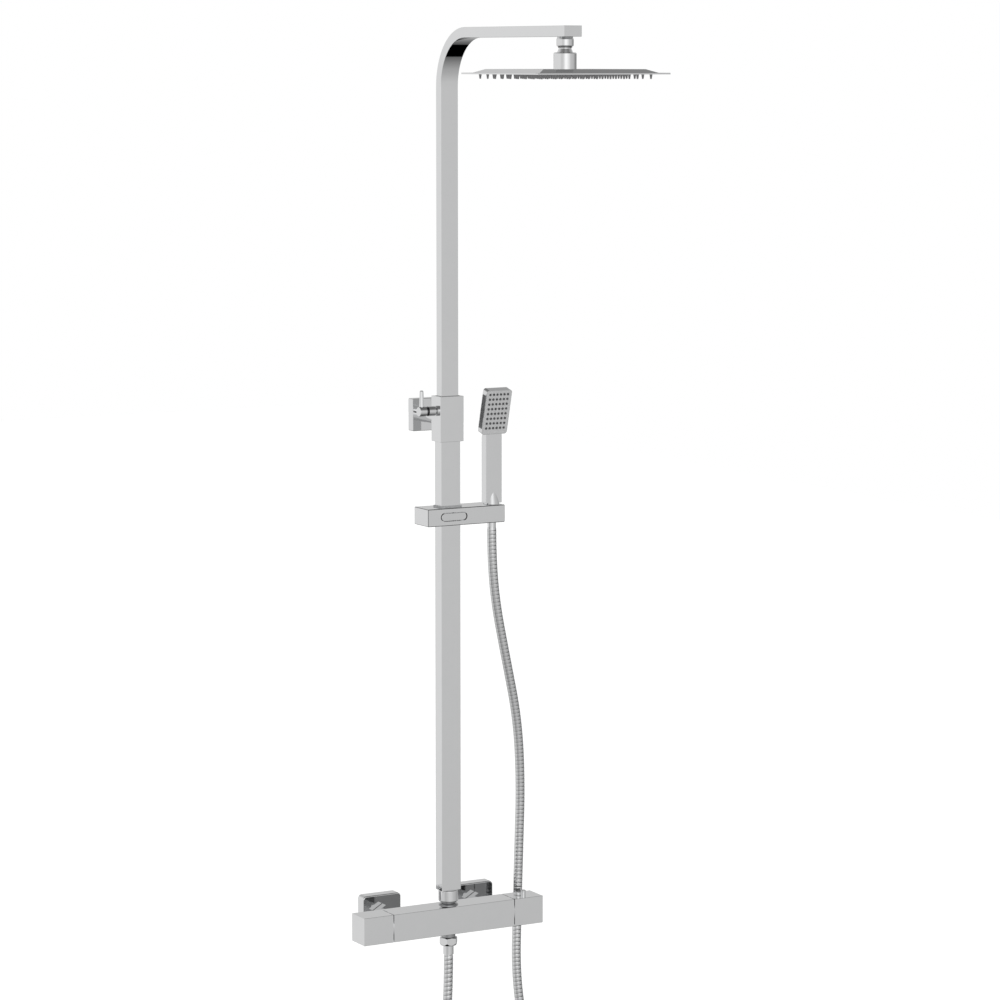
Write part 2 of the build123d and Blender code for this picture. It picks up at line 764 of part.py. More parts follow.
with BuildPart() as lock_knob:
    with BuildSketch(Plane.YZ.offset(knob_start)):
        with Locations((lock_y, lock_level)):
            Circle(knob_radius)
    extrude(amount=-knob_length)
    fillet(lock_knob.edges().filter_by(GeomType.CIRCLE), knob_edge)
    with BuildSketch(Plane.YZ.offset(groove_start)):
        with Locations((lock_y, lock_level)):
            Circle(knob_radius + 1.0)
            Circle(knob_radius - groove_depth, mode=Mode.SUBTRACT)
    extrude(amount=-groove_width, mode=Mode.SUBTRACT)
    with BuildSketch(Plane.YZ.offset(knob_start)):
        with Locations((lock_y, lock_level)):
            Circle(lock_screw_radius)
    extrude(amount=pad_back - 0.4 - knob_start)
    with BuildSketch(Plane.XY.offset(lock_level)):
        with Locations((lever_x, lock_y)):
            Circle(lever_radius - 0.8 + running_gap)
    extrude(amount=knob_radius + 1.0, mode=Mode.SUBTRACT)
lock_knob.part.label = "lock_knob"
export_step(lock_knob.part, "parts/lock_knob.step")

lever_shoulder = lock_level + knob_radius + 0.1

with BuildPart() as lock_lever:
    with BuildSketch(Plane.XY.offset(lever_shoulder)):
        with Locations((lever_x, lock_y)):
            Circle(lever_radius)
    with BuildSketch(Plane.XY.offset(lock_level + lever_length)):
        with Locations((lever_x, lock_y)):
            Circle(lever_radius - 0.8)
    loft()
    fillet(lock_lever.edges().group_by(Axis.Z)[-1], 1.6)
    with BuildSketch(Plane.XY.offset(lock_level + 0.5)):
        with Locations((lever_x, lock_y)):
            Circle(lever_radius - 0.8)
    extrude(amount=lever_shoulder - lock_level)
lock_lever.part.label = "lock_lever"
export_step(lock_lever.part, "parts/lock_lever.step")

with BuildPart() as clamp_pad:
    with BuildSketch(Plane.YZ.offset(pad_back)):
        with Locations((lock_y, lock_level)):
            Circle(pad_radius)
    extrude(amount=pad_tip - pad_back)
clamp_pad.part.label = "clamp_pad"
export_step(clamp_pad.part, "parts/clamp_pad.step")

# ---------------------------------------------------------------- upper tube with its arm
upper_tube_bottom = collar_level - insertion
bend_start = arm_level - bend_radius
bend_centre_y = bar_y - bend_radius
arm_tip = head_y - arm_overhang
tube_end = arm_tip + cap_thickness
hidden_width = upper_tube_width - 2 * upper_tube_wall
hidden_depth = upper_tube_depth - 2 * upper_tube_wall
swivel_top = arm_level - upper_tube_depth / 2
spigot_hole = 5.0

with BuildPart() as upper_tube:
    with BuildLine() as riser_path:
        rise = Line((0, bar_y, upper_tube_bottom), (0, bar_y, bend_start))
        turn = ThreePointArc(
            rise @ 1,
            (0, bend_centre_y + bend_radius * cos(pi / 4), bend_start + bend_radius * sin(pi / 4)),
            (0, bend_centre_y, arm_level),
        )
        Line(turn @ 1, (0, tube_end, arm_level))
    with BuildSketch(Plane.XY.offset(upper_tube_bottom)):
        with Locations((0, bar_y)):
            RectangleRounded(upper_tube_width, upper_tube_depth, tube_corner)
    sweep(path=riser_path.line)
    with BuildSketch(Plane.XY.offset(upper_tube_bottom)):
        with Locations((0, bar_y)):
            Rectangle(hidden_width, hidden_depth)
    sweep(path=riser_path.line, mode=Mode.SUBTRACT)
    with BuildSketch(Plane.XY.offset(swivel_top)):
        with Locations((0, head_y)):
            Circle(spigot_hole + running_gap)
    extrude(amount=upper_tube_wall, mode=Mode.SUBTRACT)
upper_tube.part.label = "upper_tube"
export_step(upper_tube.part, "parts/upper_tube.step")

with BuildPart() as arm_end_cap:
    with BuildSketch(Plane.XZ.offset(-tube_end)):
        with Locations((0, arm_level)):
            RectangleRounded(upper_tube_width, upper_tube_depth, tube_corner)
    extrude(amount=cap_thickness)
    fillet(arm_end_cap.faces().sort_by(Axis.Y)[0].edges(), 0.4)
    with BuildSketch(Plane.XZ.offset(-tube_end)):
        with Locations((0, arm_level)):
            Rectangle(hidden_width - 2 * running_gap, hidden_depth - 2 * running_gap)
    extrude(amount=-6.0)
arm_end_cap.part.label = "arm_end_cap"
export_step(arm_end_cap.part, "parts/arm_end_cap.step")

piston_height = 24.0

with BuildPart() as riser_piston:
    with BuildSketch(Plane.XY.offset(upper_tube_bottom - piston_height)):
        with Locations((0, bar_y)):
            Rectangle(foot_inner_width - 2 * sliding_gap, foot_inner_depth - 2 * sliding_gap)
    extrude(amount=piston_height)
    with BuildSketch(Plane.XY.offset(upper_tube_bottom)):
        with Locations((0, bar_y)):
            Rectangle(hidden_width - 2 * running_gap, hidden_depth - 2 * running_gap)
    extrude(amount=10.0)
    with BuildSketch(Plane.XY.offset(upper_tube_bottom - piston_height)):
        with Locations((0, bar_y)):
            Circle(outlet_radius - 3.0)
    extrude(amount=piston_height + 10.0, mode=Mode.SUBTRACT)
    for level in (7.0, 15.0):
        with BuildSketch(Plane.XY.offset(upper_tube_bottom - level)):
            with Locations((0, bar_y)):
                Rectangle(foot_inner_width, foot_inner_depth)
                Rectangle(foot_inner_width - 4.0, foot_inner_depth - 4.0, mode=Mode.SUBTRACT)
        extrude(amount=-2.0, mode=Mode.SUBTRACT)
riser_piston.part.label = "riser_piston"
export_step(riser_piston.part, "parts/riser_piston.step")

with BuildPart() as piston_seals:
    for level in (7.0, 15.0):
        with BuildSketch(Plane.XY.offset(upper_tube_bottom - level)):
            with Locations((0, bar_y)):
                Rectangle(foot_inner_width - 2 * running_gap, foot_inner_depth - 2 * running_gap)
                Rectangle(foot_inner_width - 4.0, foot_inner_depth - 4.0, mode=Mode.SUBTRACT)
        extrude(amount=-2.0)
piston_seals.part.label = "piston_seals"
export_step(piston_seals.part, "parts/piston_seals.step")

# ---------------------------------------------------------------- ball joint of the rain head
skirt_level = ball_level + 10.9
neck_level = ball_level + 15.9
swivel_bottom = swivel_top - swivel_height

with BuildPart() as ball_stem:
    with BuildSketch(Plane.XZ.offset(-head_y)):
        with BuildLine():
            stem_outline = Polyline(
                (0, ball_level),
                (stem_radius, ball_level),
                (stem_radius, skirt_level),
                (skirt_radius, skirt_level),
                (swivel_neck, neck_level),
                (swivel_neck, swivel_bottom),
                (swivel_radius, swivel_bottom),
                (swivel_radius, swivel_top - swivel_taper_height),
                (swivel_radius - swivel_taper, swivel_top),
                (spigot_hole, swivel_top),
                (spigot_hole, swivel_top + upper_tube_wall + 6.0),
                (0, swivel_top + upper_tube_wall + 6.0),
                (0, ball_level),
            )
        make_face()
    revolve(axis=Axis((0, head_y, 0), (0, 0, 1)))
    fillet(ball_stem.edges().filter_by(GeomType.CIRCLE).filter_by(
        lambda edge: abs(edge.center().Z - swivel_bottom) < 0.01 and edge.radius > swivel_neck + 1.0
    ), swivel_edge)
    with Locations((0, head_y, ball_level)):
        Sphere(ball_radius)
    with BuildSketch(Plane.XY.offset(ball_level - ball_radius)):
        with Locations((0, head_y)):
            Circle(3.5)
    extrude(amount=swivel_top + 10.0 - ball_level + ball_radius, mode=Mode.SUBTRACT)
ball_stem.part.label = "ball_stem"
export_step(ball_stem.part, "parts/ball_stem.step")

seat_inner = ball_radius + running_gap
seat_outer = seat_inner + seat_thickness
cavity_radius = seat_outer + running_gap


def ball_seat(low, high):
    """A zone of the spherical shell around the ball, between two levels above its centre."""
    with BuildPart() as piece:
        with Locations((0, head_y, ball_level)):
            Sphere(seat_outer)
            Sphere(seat_inner, mode=Mode.SUBTRACT)
        with BuildSketch(Plane.XY.offset(ball_level + low)):
            with Locations((0, head_y)):
                Circle(seat_outer + 1.0)
        extrude(amount=high - low, mode=Mode.INTERSECT)
    return piece.part


with BuildPart() as ball_seat_upper:
    add(ball_seat(2.0, 4.8))
ball_seat_upper.part.label = "ball_seat_upper"
export_step(ball_seat_upper.part, "parts/ball_seat_upper.step")

with BuildPart() as ball_seat_lower:
    add(ball_seat(-6.5, -1.0))
ball_seat_lower.part.label = "ball_seat_lower"
export_step(ball_seat_lower.part, "parts/ball_seat_lower.step")

head_top = rim_level + rim_thickness + head_rise
socket_top = ball_level + 10.8
cup_radius = socket_radius - socket_wall
lip_level = ball_level + 5.8
lip_radius = (cavity_radius ** 2 - 5.8 ** 2) ** 0.5

with BuildPart() as swivel_nut:
    with BuildSketch(Plane.XY.offset(head_top)):
        with Locations((0, head_y)):
            Circle(socket_radius)
    extrude(amount=socket_top - head_top)
    fillet(swivel_nut.edges().group_by(Axis.Z)[-1], socket_edge)
    with BuildSketch(Plane.XY.offset(head_top)):
        with Locations((0, head_y)):
            Circle(cup_radius + running_gap)
    extrude(amount=ball_level - head_top, mode=Mode.SUBTRACT)
    with Locations((0, head_y, ball_level)):
        Sphere(cavity_radius, mode=Mode.SUBTRACT)
    with BuildSketch(Plane.XY.offset(lip_level)):
        with Locations((0, head_y)):
            Circle(lip_radius)
    extrude(amount=socket_top - lip_level, mode=Mode.SUBTRACT)
    with BuildSketch(Plane.XY.offset(lip_level + 1.1)):
        with Locations((0, head_y)):
            Circle(socket_radius - socket_rim)
    extrude(amount=socket_top - lip_level - 1.1, mode=Mode.SUBTRACT)
swivel_nut.part.label = "swivel_nut"
export_step(swivel_nut.part, "parts/swivel_nut.step")

with BuildPart() as swivel_cup:
    with BuildSketch(Plane.XY.offset(head_top)):
        with Locations((0, head_y)):
            Circle(cup_radius)
    extrude(amount=ball_level - head_top - running_gap)
    with Locations((0, head_y, ball_level)):
        Sphere(cavity_radius, mode=Mode.SUBTRACT)
    with BuildSketch(Plane.XY.offset(head_top - head_wall)):
        with Locations((0, head_y)):
            Circle(outlet_radius)
    extrude(amount=head_wall + 1.0)
    with BuildSketch(Plane.XY.offset(head_top - head_wall)):
        with Locations((0, head_y)):
            Circle(outlet_radius - 2.0)
    extrude(amount=ball_level - head_top, mode=Mode.SUBTRACT)
swivel_cup.part.label = "swivel_cup"
export_step(swivel_cup.part, "parts/swivel_cup.step")

# ---------------------------------------------------------------- rain head
plate_size = head_base - 2 * head_wall
inner_base = head_base - 2 * head_wall - 4.0
inner_crown = head_crown - 2 * head_wall
plate_top = rim_level + plate_thickness
mat_top = plate_top + 1.2

with BuildPart() as rain_head_shell:
    with BuildSketch(Plane.XY.offset(rim_level)):
        with Locations((0, head_y)):
            RectangleRounded(head_size, head_size, 2.0)
    extrude(amount=rim_thickness)
    fillet(rain_head_shell.edges().group_by(Axis.Z)[-1], 0.5)
    with BuildSketch(Plane.XY.offset(rim_level + rim_thickness)):
        with Locations((0, head_y)):
            Rectangle(head_base, head_base)
    with BuildSketch(Plane.XY.offset(head_top)):
        with Locations((0, head_y)):
            Rectangle(head_crown, head_crown)
    loft()
    with BuildSketch(Plane.XY.offset(mat_top)):
        with Locations((0, head_y)):
            Rectangle(inner_base, inner_base)
    with BuildSketch(Plane.XY.offset(head_top - head_wall)):
        with Locations((0, head_y)):
            Rectangle(inner_crown, inner_crown)
    loft(mode=Mode.SUBTRACT)
    with BuildSketch(Plane.XY.offset(rim_level)):
        with Locations((0, head_y)):
            Rectangle(plate_size, plate_size)
    extrude(amount=plate_thickness, mode=Mode.SUBTRACT)
    with BuildSketch(Plane.XY.offset(plate_top)):
        with Locations((0, head_y)):
            Rectangle(inner_base, inner_base)
    extrude(amount=mat_top - plate_top, mode=Mode.SUBTRACT)
    with BuildSketch(Plane.XY.offset(head_top)):
        with Locations((0, head_y)):
            Circle(outlet_radius + running_gap)
    extrude(amount=-head_wall, mode=Mode.SUBTRACT)
rain_head_shell.part.label = "rain_head_shell"
export_step(rain_head_shell.part, "parts/rain_head_shell.step")

with BuildPart() as rain_head_plate:
    with BuildSketch(Plane.XY.offset(rim_level)):
        with Locations((0, head_y)):
            Rectangle(plate_size - 2 * running_gap, plate_size - 2 * running_gap)
            with GridLocations(nozzle_pitch, nozzle_pitch, nozzle_count, nozzle_count):
                Circle(nozzle_root + running_gap, mode=Mode.SUBTRACT)
    extrude(amount=plate_thickness)
rain_head_plate.part.label = "rain_head_plate"
export_step(rain_head_plate.part, "parts/rain_head_plate.step")

with BuildPart() as rain_nozzle_mat:
    with BuildSketch(Plane.XY.offset(plate_top)):
        with Locations((0, head_y)):
            Rectangle(inner_base - 2 * running_gap, inner_base - 2 * running_gap)
    extrude(amount=mat_top - plate_top)
    with BuildSketch(Plane.XY.offset(plate_top)):
        with Locations((0, head_y)):
            with GridLocations(nozzle_pitch, nozzle_pitch, nozzle_count, nozzle_count):
                Circle(nozzle_root)
    extrude(amount=-plate_thickness - nozzle_drop, taper=9)
rain_nozzle_mat.part.label = "rain_nozzle_mat"
export_step(rain_nozzle_mat.part, "parts/rain_nozzle_mat.step")

# ---------------------------------------------------------------- hand shower holder
liner_width = lower_tube_width + 2 * sliding_gap + 2 * liner_wall
liner_depth = lower_tube_depth + 2 * sliding_gap + 2 * liner_wall
liner_front = bar_y - liner_depth / 2
bore_gap = 0.4
slot_width = 2 * hose_radius + 2.0
slider_end = slider_offset + slider_length / 2
rocker_back = slider_front + rocker_thickness
pocket_back = rocker_back + rocker_press
pivot_y = slider_front + rocker_thickness / 2 + 0.4
shoe_width = 5.0
shoe_height = 7.0
window_gap = 0.9
tube_face = bar_y - lower_tube_depth / 2
shoe_tip = tube_face - pad_gap

with BuildPart() as slider_body:
    with BuildSketch(Plane.XY.offset(slider_bottom)):
        with Locations((slider_offset, bar_y)):
            Rectangle(slider_length, slider_depth)
    extrude(amount=slider_height)
    chamfer(slider_body.edges(), slider_edge)
    with BuildSketch(Plane.XY.offset(slider_bottom)):
        with Locations((0, bar_y)):
            RectangleRounded(liner_width + 2 * running_gap, liner_depth + 2 * running_gap, tube_corner)
        with Locations(((handset_offset + slider_end + 2) / 2, bar_y)):
            Rectangle(slider_end + 2 - handset_offset, slot_width)
    extrude(amount=slider_height, mode=Mode.SUBTRACT)
    with BuildSketch(Plane.XY.offset(slider_bottom)):
        with Locations((handset_offset, bar_y)):
            Circle(cone_bottom_radius + bore_gap)
    with BuildSketch(Plane.XY.offset(slider_top)):
        with Locations((handset_offset, bar_y)):
            Circle(cone_top_radius + bore_gap)
    loft(mode=Mode.SUBTRACT)
    with BuildSketch(Plane.XZ.offset(-slider_front)):
        with Locations((rocker_offset, slider_level)):
            SlotOverall(rocker_length, rocker_height)
    extrude(amount=-(pocket_back - slider_front), mode=Mode.SUBTRACT)
    with BuildSketch(Plane.XZ.offset(-pocket_back)):
        with Locations((shoe_offset, slider_level)):
            Rectangle(shoe_width + 2 * window_gap, shoe_height + 2 * window_gap)
    extrude(amount=-(liner_front - pocket_back + tube_corner), mode=Mode.SUBTRACT)
    with BuildSketch(Plane.XY.offset(slider_bottom)):
        with Locations((pivot_offset, pivot_y)):
            Circle(pivot_radius + running_gap)
    extrude(amount=slider_height - 3.0, mode=Mode.SUBTRACT)
slider_body.part.label = "slider_body"
export_step(slider_body.part, "parts/slider_body.step")

with BuildPart() as slider_liner:
    with BuildSketch(Plane.XY.offset(slider_bottom)):
        with Locations((0, bar_y)):
            RectangleRounded(liner_width, liner_depth, tube_corner)
            RectangleRounded(lower_tube_width + 2 * sliding_gap, lower_tube_depth + 2 * sliding_gap,
                             tube_corner, mode=Mode.SUBTRACT)
    extrude(amount=slider_height + liner_lip)
    with BuildSketch(Plane.XZ.offset(-liner_front)):
        with Locations((shoe_offset, slider_level)):
            Rectangle(shoe_width + 2 * window_gap, shoe_height + 2 * window_gap)
    extrude(amount=-(liner_wall + sliding_gap + tube_corner), mode=Mode.SUBTRACT)
slider_liner.part.label = "slider_liner"
export_step(slider_liner.part, "parts/slider_liner.step")

with BuildPart() as rocker_pin:
    with BuildSketch(Plane.XY.offset(slider_bottom)):
        with Locations((pivot_offset, pivot_y)):
            Circle(pivot_radius)
    extrude(amount=slider_height - 3.5)
rocker_pin.part.label = "rocker_pin"
export_step(rocker_pin.part, "parts/rocker_pin.step")

button_length = rocker_length - 2 * rocker_gap
button_tilt = atan2(rocker_proud + rocker_sunk, button_length)
button_front = Plane(
    origin=(rocker_offset, slider_front + (rocker_sunk - rocker_proud) / 2, slider_level),
    x_dir=(cos(button_tilt), sin(button_tilt), 0),
    z_dir=(sin(button_tilt), -cos(button_tilt), 0),
)

with BuildPart() as rocker_button:
    with BuildSketch(Plane.XZ.offset(-slider_front + rocker_proud)):
        with Locations((rocker_offset, slider_level)):
            SlotOverall(button_length, rocker_height - 2 * rocker_gap)
    extrude(amount=-(rocker_thickness + rocker_proud))
    split(bisect_by=button_front, keep=Keep.BOTTOM)
    fillet(rocker_button.faces().sort_by(Axis.Y)[0].edges(), 0.5)
    with BuildSketch(Plane.XY.offset(slider_bottom)):
        with Locations((pivot_offset, pivot_y)):
            Circle(pivot_radius + running_gap)
    extrude(amount=slider_height, mode=Mode.SUBTRACT)
rocker_button.part.label = "rocker_button"
export_step(rocker_button.part, "parts/rocker_button.step")

with BuildPart() as brake_shoe:
    with BuildSketch(Plane.XZ.offset(-rocker_back)):
        with Locations((shoe_offset, slider_level)):
            Rectangle(shoe_width, shoe_height)
    extrude(amount=-(shoe_tip - rocker_back))
brake_shoe.part.label = "brake_shoe"
export_step(brake_shoe.part, "parts/brake_shoe.step")

spring_x = -12.0
spring_coil = 2.6

with BuildPart() as rocker_spring:
    spring_travel = pocket_back - rocker_back - button_wire
    with BuildLine() as rocker_coil:
        Helix(pitch=spring_travel / 2, height=spring_travel, radius=spring_coil,
              center=(spring_x, rocker_back + button_wire / 2, slider_level), direction=(0, 1, 0))
    with BuildSketch(Plane(origin=rocker_coil.line @ 0, z_dir=rocker_coil.line % 0)):
        Circle(button_wire / 2)
    sweep(path=rocker_coil.line, is_frenet=True)
rocker_spring.part.label = "rocker_spring"
export_step(rocker_spring.part, "parts/rocker_spring.step")

# ---------------------------------------------------------------- hose cone in the holder
cone_slope = (cone_top_radius - cone_bottom_radius) / slider_height
nut_low = slider_bottom + 0.9
nut_high = slider_top - 3.2
washer_level = nut_high - 9.5
thread_radius = 9.9
thread_bottom = washer_level + 1.6
boss_bottom = slider_top - 1.2
cone_low_radius = cone_bottom_radius + cone_slope * (nut_low - slider_bottom)
cone_high_radius = cone_bottom_radius + cone_slope * (nut_high - slider_bottom)
ferrule_radius = 5.9
hose_top = slider_bottom - 8.6

with BuildPart() as hose_cone_nut:
    with BuildSketch(Plane.XY.offset(nut_low)):
        with Locations((handset_offset, bar_y)):
            Circle(cone_low_radius)
    with BuildSketch(Plane.XY.offset(nut_high)):
        with Locations((handset_offset, bar_y)):
            Circle(cone_high_radius)
    loft()
    with BuildSketch(Plane.XY.offset(nut_low)):
        with Locations((handset_offset, bar_y)):
            Circle(ferrule_radius + running_gap)
    extrude(amount=nut_high - nut_low, mode=Mode.SUBTRACT)
    with BuildSketch(Plane.XY.offset(washer_level - 2.0)):
        with Locations((handset_offset, bar_y)):
            Circle(thread_radius + running_gap)
    extrude(amount=nut_high - washer_level + 2.0, mode=Mode.SUBTRACT)
hose_cone_nut.part.label = "hose_cone_nut"
export_step(hose_cone_nut.part, "parts/hose_cone_nut.step")

with BuildPart() as hose_ferrule_upper:
    with BuildSketch(Plane.XY.offset(hose_top)):
        with Locations((handset_offset, bar_y)):
            Circle(ferrule_radius)
    extrude(amount=washer_level - hose_top)
    with BuildSketch(Plane.XY.offset(washer_level)):
        with Locations((handset_offset, bar_y)):
            Circle(thread_radius)
    extrude(amount=-2.0)
    with BuildSketch(Plane.XY.offset(hose_top)):
        with Locations((handset_offset, bar_y)):
            Circle(ferrule_radius / 2)
    extrude(amount=washer_level - hose_top, mode=Mode.SUBTRACT)
hose_ferrule_upper.part.label = "hose_ferrule_upper"
export_step(hose_ferrule_upper.part, "parts/hose_ferrule_upper.step")

with BuildPart() as handset_washer:
    with BuildSketch(Plane.XY.offset(washer_level)):
        with Locations((handset_offset, bar_y)):
            Circle(thread_radius)
            Circle(ferrule_radius / 2, mode=Mode.SUBTRACT)
    extrude(amount=thread_bottom - washer_level - 0.1)
handset_washer.part.label = "handset_washer"
export_step(handset_washer.part, "parts/handset_washer.step")

# ---------------------------------------------------------------- hand shower
handset_low = slider_top + 1.3
lean = radians(handset_lean)
face_low_y = bar_y - face_forward
face_middle_y = face_low_y - handset_head_length / 2 * sin(lean)
face_middle_z = handset_head_level + handset_head_length / 2 * cos(lean)
face_plane = Plane(
    origin=(handset_offset, face_middle_y, face_middle_z),
    x_dir=(1, 0, 0),
    z_dir=(0, -cos(lean), -sin(lean)),
)
back_plane = face_plane.offset(-handset_head_thick)
recess_width = handset_head_width - 2 * face_border
recess_length = handset_head_length - 2 * face_border
chamber_width = handset_head_width - 2 * handset_wall
chamber_length = handset_head_length - 2 * handset_wall
chamber_depth = handset_head_thick - handset_wall
waterway_top = handset_head_level + 5.0
waterway_y = bar_y - 0.6

with BuildPart() as handset_body:
    with BuildSketch(Plane.XY.offset(handset_low)):
        with Locations((handset_offset, bar_y)):
            RectangleRounded(handle_width, handle_thick, handle_corner)
    extrude(amount=handset_head_level + 3.0 - handset_low)
    with BuildSketch(back_plane):
        with Locations((0, -handset_head_length / 2)):
            Rectangle(handset_head_width, handset_head_length / 2)
    extrude(amount=-20.0, mode=Mode.SUBTRACT)
    with BuildSketch(face_plane):
        RectangleRounded(handset_head_width, handset_head_length, 4.0)
    extrude(amount=-handset_head_thick)
    with BuildSketch(Plane.XY.offset(boss_bottom)):
        with Locations((handset_offset, bar_y)):
            Circle(boss_radius)
    with BuildSketch(Plane.XY.offset(boss_bottom + boss_height)):
        with Locations((handset_offset, bar_y)):
            Circle(boss_tip_radius)
    loft()
    with BuildSketch(Plane.XY.offset(thread_bottom)):
        with Locations((handset_offset, bar_y)):
            Circle(thread_radius)
    extrude(amount=boss_bottom - thread_bottom)
    with BuildSketch(Plane.XY.offset(thread_bottom)):
        with Locations((handset_offset, bar_y)):
            Circle(4.0)
    extrude(amount=boss_height + 6.0, mode=Mode.SUBTRACT)
    with BuildSketch(Plane.XY.offset(boss_bottom + boss_height - 8.0)):
        with Locations((handset_offset, waterway_y)):
            Rectangle(14.0, 5.0)
    extrude(amount=waterway_top - boss_bottom - boss_height + 8.0, mode=Mode.SUBTRACT)
    with BuildSketch(face_plane):
        RectangleRounded(recess_width, recess_length, 2.0)
    extrude(amount=-face_recess, mode=Mode.SUBTRACT)
    with BuildSketch(face_plane):
        Rectangle(chamber_width, chamber_length)
    extrude(amount=-chamber_depth, mode=Mode.SUBTRACT)
    with BuildSketch(face_plane.offset(-side_panel_edge)):
        with Locations((-handset_head_width / 2, 0), (handset_head_width / 2, 0)):
            Rectangle(2 * side_panel_depth, side_panel_length)
    extrude(amount=-(handset_head_thick - 2 * side_panel_edge), mode=Mode.SUBTRACT)
handset_body.part.label = "handset_body"
export_step(handset_body.part, "parts/handset_body.step")

spray_columns = 6
spray_rows = 8
spray_pitch_x = 5.6
spray_pitch_z = 7.13
spray_radius = 1.6
spray_drop = 0.7
spray_shift = 1.6

with BuildPart() as handset_face:
    with BuildSketch(face_plane):
        RectangleRounded(recess_width - 2 * running_gap, recess_length - 2 * running_gap, 2.0)
        with Locations((0, spray_shift)):
            with GridLocations(spray_pitch_x, spray_pitch_z, spray_columns, spray_rows):
                Circle(spray_radius + running_gap, mode=Mode.SUBTRACT)
    extrude(amount=-face_recess)
handset_face.part.label = "handset_face"
export_step(handset_face.part, "parts/handset_face.step")

with BuildPart() as handset_nozzles:
    with BuildSketch(face_plane.offset(-face_recess)):
        Rectangle(chamber_width - 2 * running_gap, chamber_length - 2 * running_gap)
    extrude(amount=-1.2)
    with BuildSketch(face_plane.offset(-face_recess)):
        with Locations((0, spray_shift)):
            with GridLocations(spray_pitch_x, spray_pitch_z, spray_columns, spray_rows):
                Circle(spray_radius)
    extrude(amount=face_recess + spray_drop)
handset_nozzles.part.label = "handset_nozzles"
export_step(handset_nozzles.part, "parts/handset_nozzles.step")

# ---------------------------------------------------------------- bottom outlet
outlet_nut_top = -bar_top - 7.05
outlet_nut_bottom = outlet_nut_top - 11.9
outlet_thread_radius = 9.75
thread_low = outlet_nut_top - 5.6
collet_top = thread_low - washer_thickness
hose_bottom = outlet_nut_bottom - 13.65

with BuildPart() as bottom_outlet_nipple:
    with BuildSketch(Plane.XY.offset(-bar_top)):
        with Locations((0, bar_y)):
            Circle(outlet_thread_radius)
    extrude(amount=thread_low + bar_top)
    with BuildSketch(Plane.XY.offset(-bar_top)):
        with Locations((0, bar_y)):
            Circle(outlet_radius)
    extrude(amount=thread_low + bar_top, mode=Mode.SUBTRACT)
bottom_outlet_nipple.part.label = "bottom_outlet_nipple"
export_step(bottom_outlet_nipple.part, "parts/bottom_outlet_nipple.step")

with BuildPart() as pipe_washers:
    for x in (-inlet_spacing / 2, inlet_spacing / 2):
        with BuildSketch(Plane.XZ.offset(-union_start)):
            with Locations((x, 0)):
                Circle(union_radius - seat_gap)
                Circle(inlet_radius, mode=Mode.SUBTRACT)
        extrude(amount=washer_thickness)
    with BuildSketch(Plane.XY.offset(nipple_top)):
        with Locations((0, bar_y)):
            Circle(nipple_radius)
            Circle(outlet_radius - 2.0, mode=Mode.SUBTRACT)
    extrude(amount=washer_thickness)
    with BuildSketch(Plane.XY.offset(collet_top)):
        with Locations((0, bar_y)):
            Circle(outlet_thread_radius)
            Circle(outlet_radius - 3.5, mode=Mode.SUBTRACT)
    extrude(amount=washer_thickness)
pipe_washers.part.label = "pipe_washers"
export_step(pipe_washers.part, "parts/pipe_washers.step")

nut_corner = hose_nut_across_flats / 2 / cos(pi / 6)

with BuildPart() as hose_hex_nut:
    with BuildSketch(Plane.XY.offset(outlet_nut_bottom)):
        with Locations((0, bar_y)):
            RegularPolygon(hose_nut_across_flats / 2, 6, major_radius=False, rotation=hose_nut_turn)
    extrude(amount=outlet_nut_top - outlet_nut_bottom)
    with BuildSketch(Plane.XZ.offset(-bar_y)):
        with BuildLine():
            Polyline(
                (0, outlet_nut_bottom),
                (nut_corner - 2.1, outlet_nut_bottom),
                (nut_corner + 0.1, outlet_nut_bottom + 3.9),
                (nut_corner + 0.1, outlet_nut_top - 2.0),
                (nut_corner - 3.4, outlet_nut_top),
                (0, outlet_nut_top),
                (0, outlet_nut_bottom),
            )
        make_face()
    revolve(axis=Axis((0, bar_y, 0), (0, 0, 1)), mode=Mode.INTERSECT)
    with BuildSketch(Plane.XY.offset(outlet_nut_top)):
        with Locations((0, bar_y)):
            Circle(outlet_thread_radius + running_gap)
    extrude(amount=collet_top - washer_thickness - outlet_nut_top, mode=Mode.SUBTRACT)
    with BuildSketch(Plane.XY.offset(outlet_nut_top)):
        with Locations((0, bar_y)):
            Circle(hose_end_radius + running_gap)
    extrude(amount=outlet_nut_bottom - outlet_nut_top, mode=Mode.SUBTRACT)
hose_hex_nut.part.label = "hose_hex_nut"
export_step(hose_hex_nut.part, "parts/hose_hex_nut.step")

with BuildPart() as hose_ferrule_lower:
    with BuildSketch(Plane.XY.offset(hose_bottom)):
        with Locations((0, bar_y)):
            Circle(hose_end_radius)
    extrude(amount=collet_top - hose_bottom)
    with BuildSketch(Plane.XY.offset(collet_top)):
        with Locations((0, bar_y)):
            Circle(outlet_thread_radius)
    extrude(amount=-washer_thickness)
    with BuildSketch(Plane.XY.offset(hose_bottom)):
        with Locations((0, bar_y)):
            Circle(hose_end_radius / 2)
    extrude(amount=collet_top - hose_bottom, mode=Mode.SUBTRACT)
hose_ferrule_lower.part.label = "hose_ferrule_lower"
export_step(hose_ferrule_lower.part, "parts/hose_ferrule_lower.step")

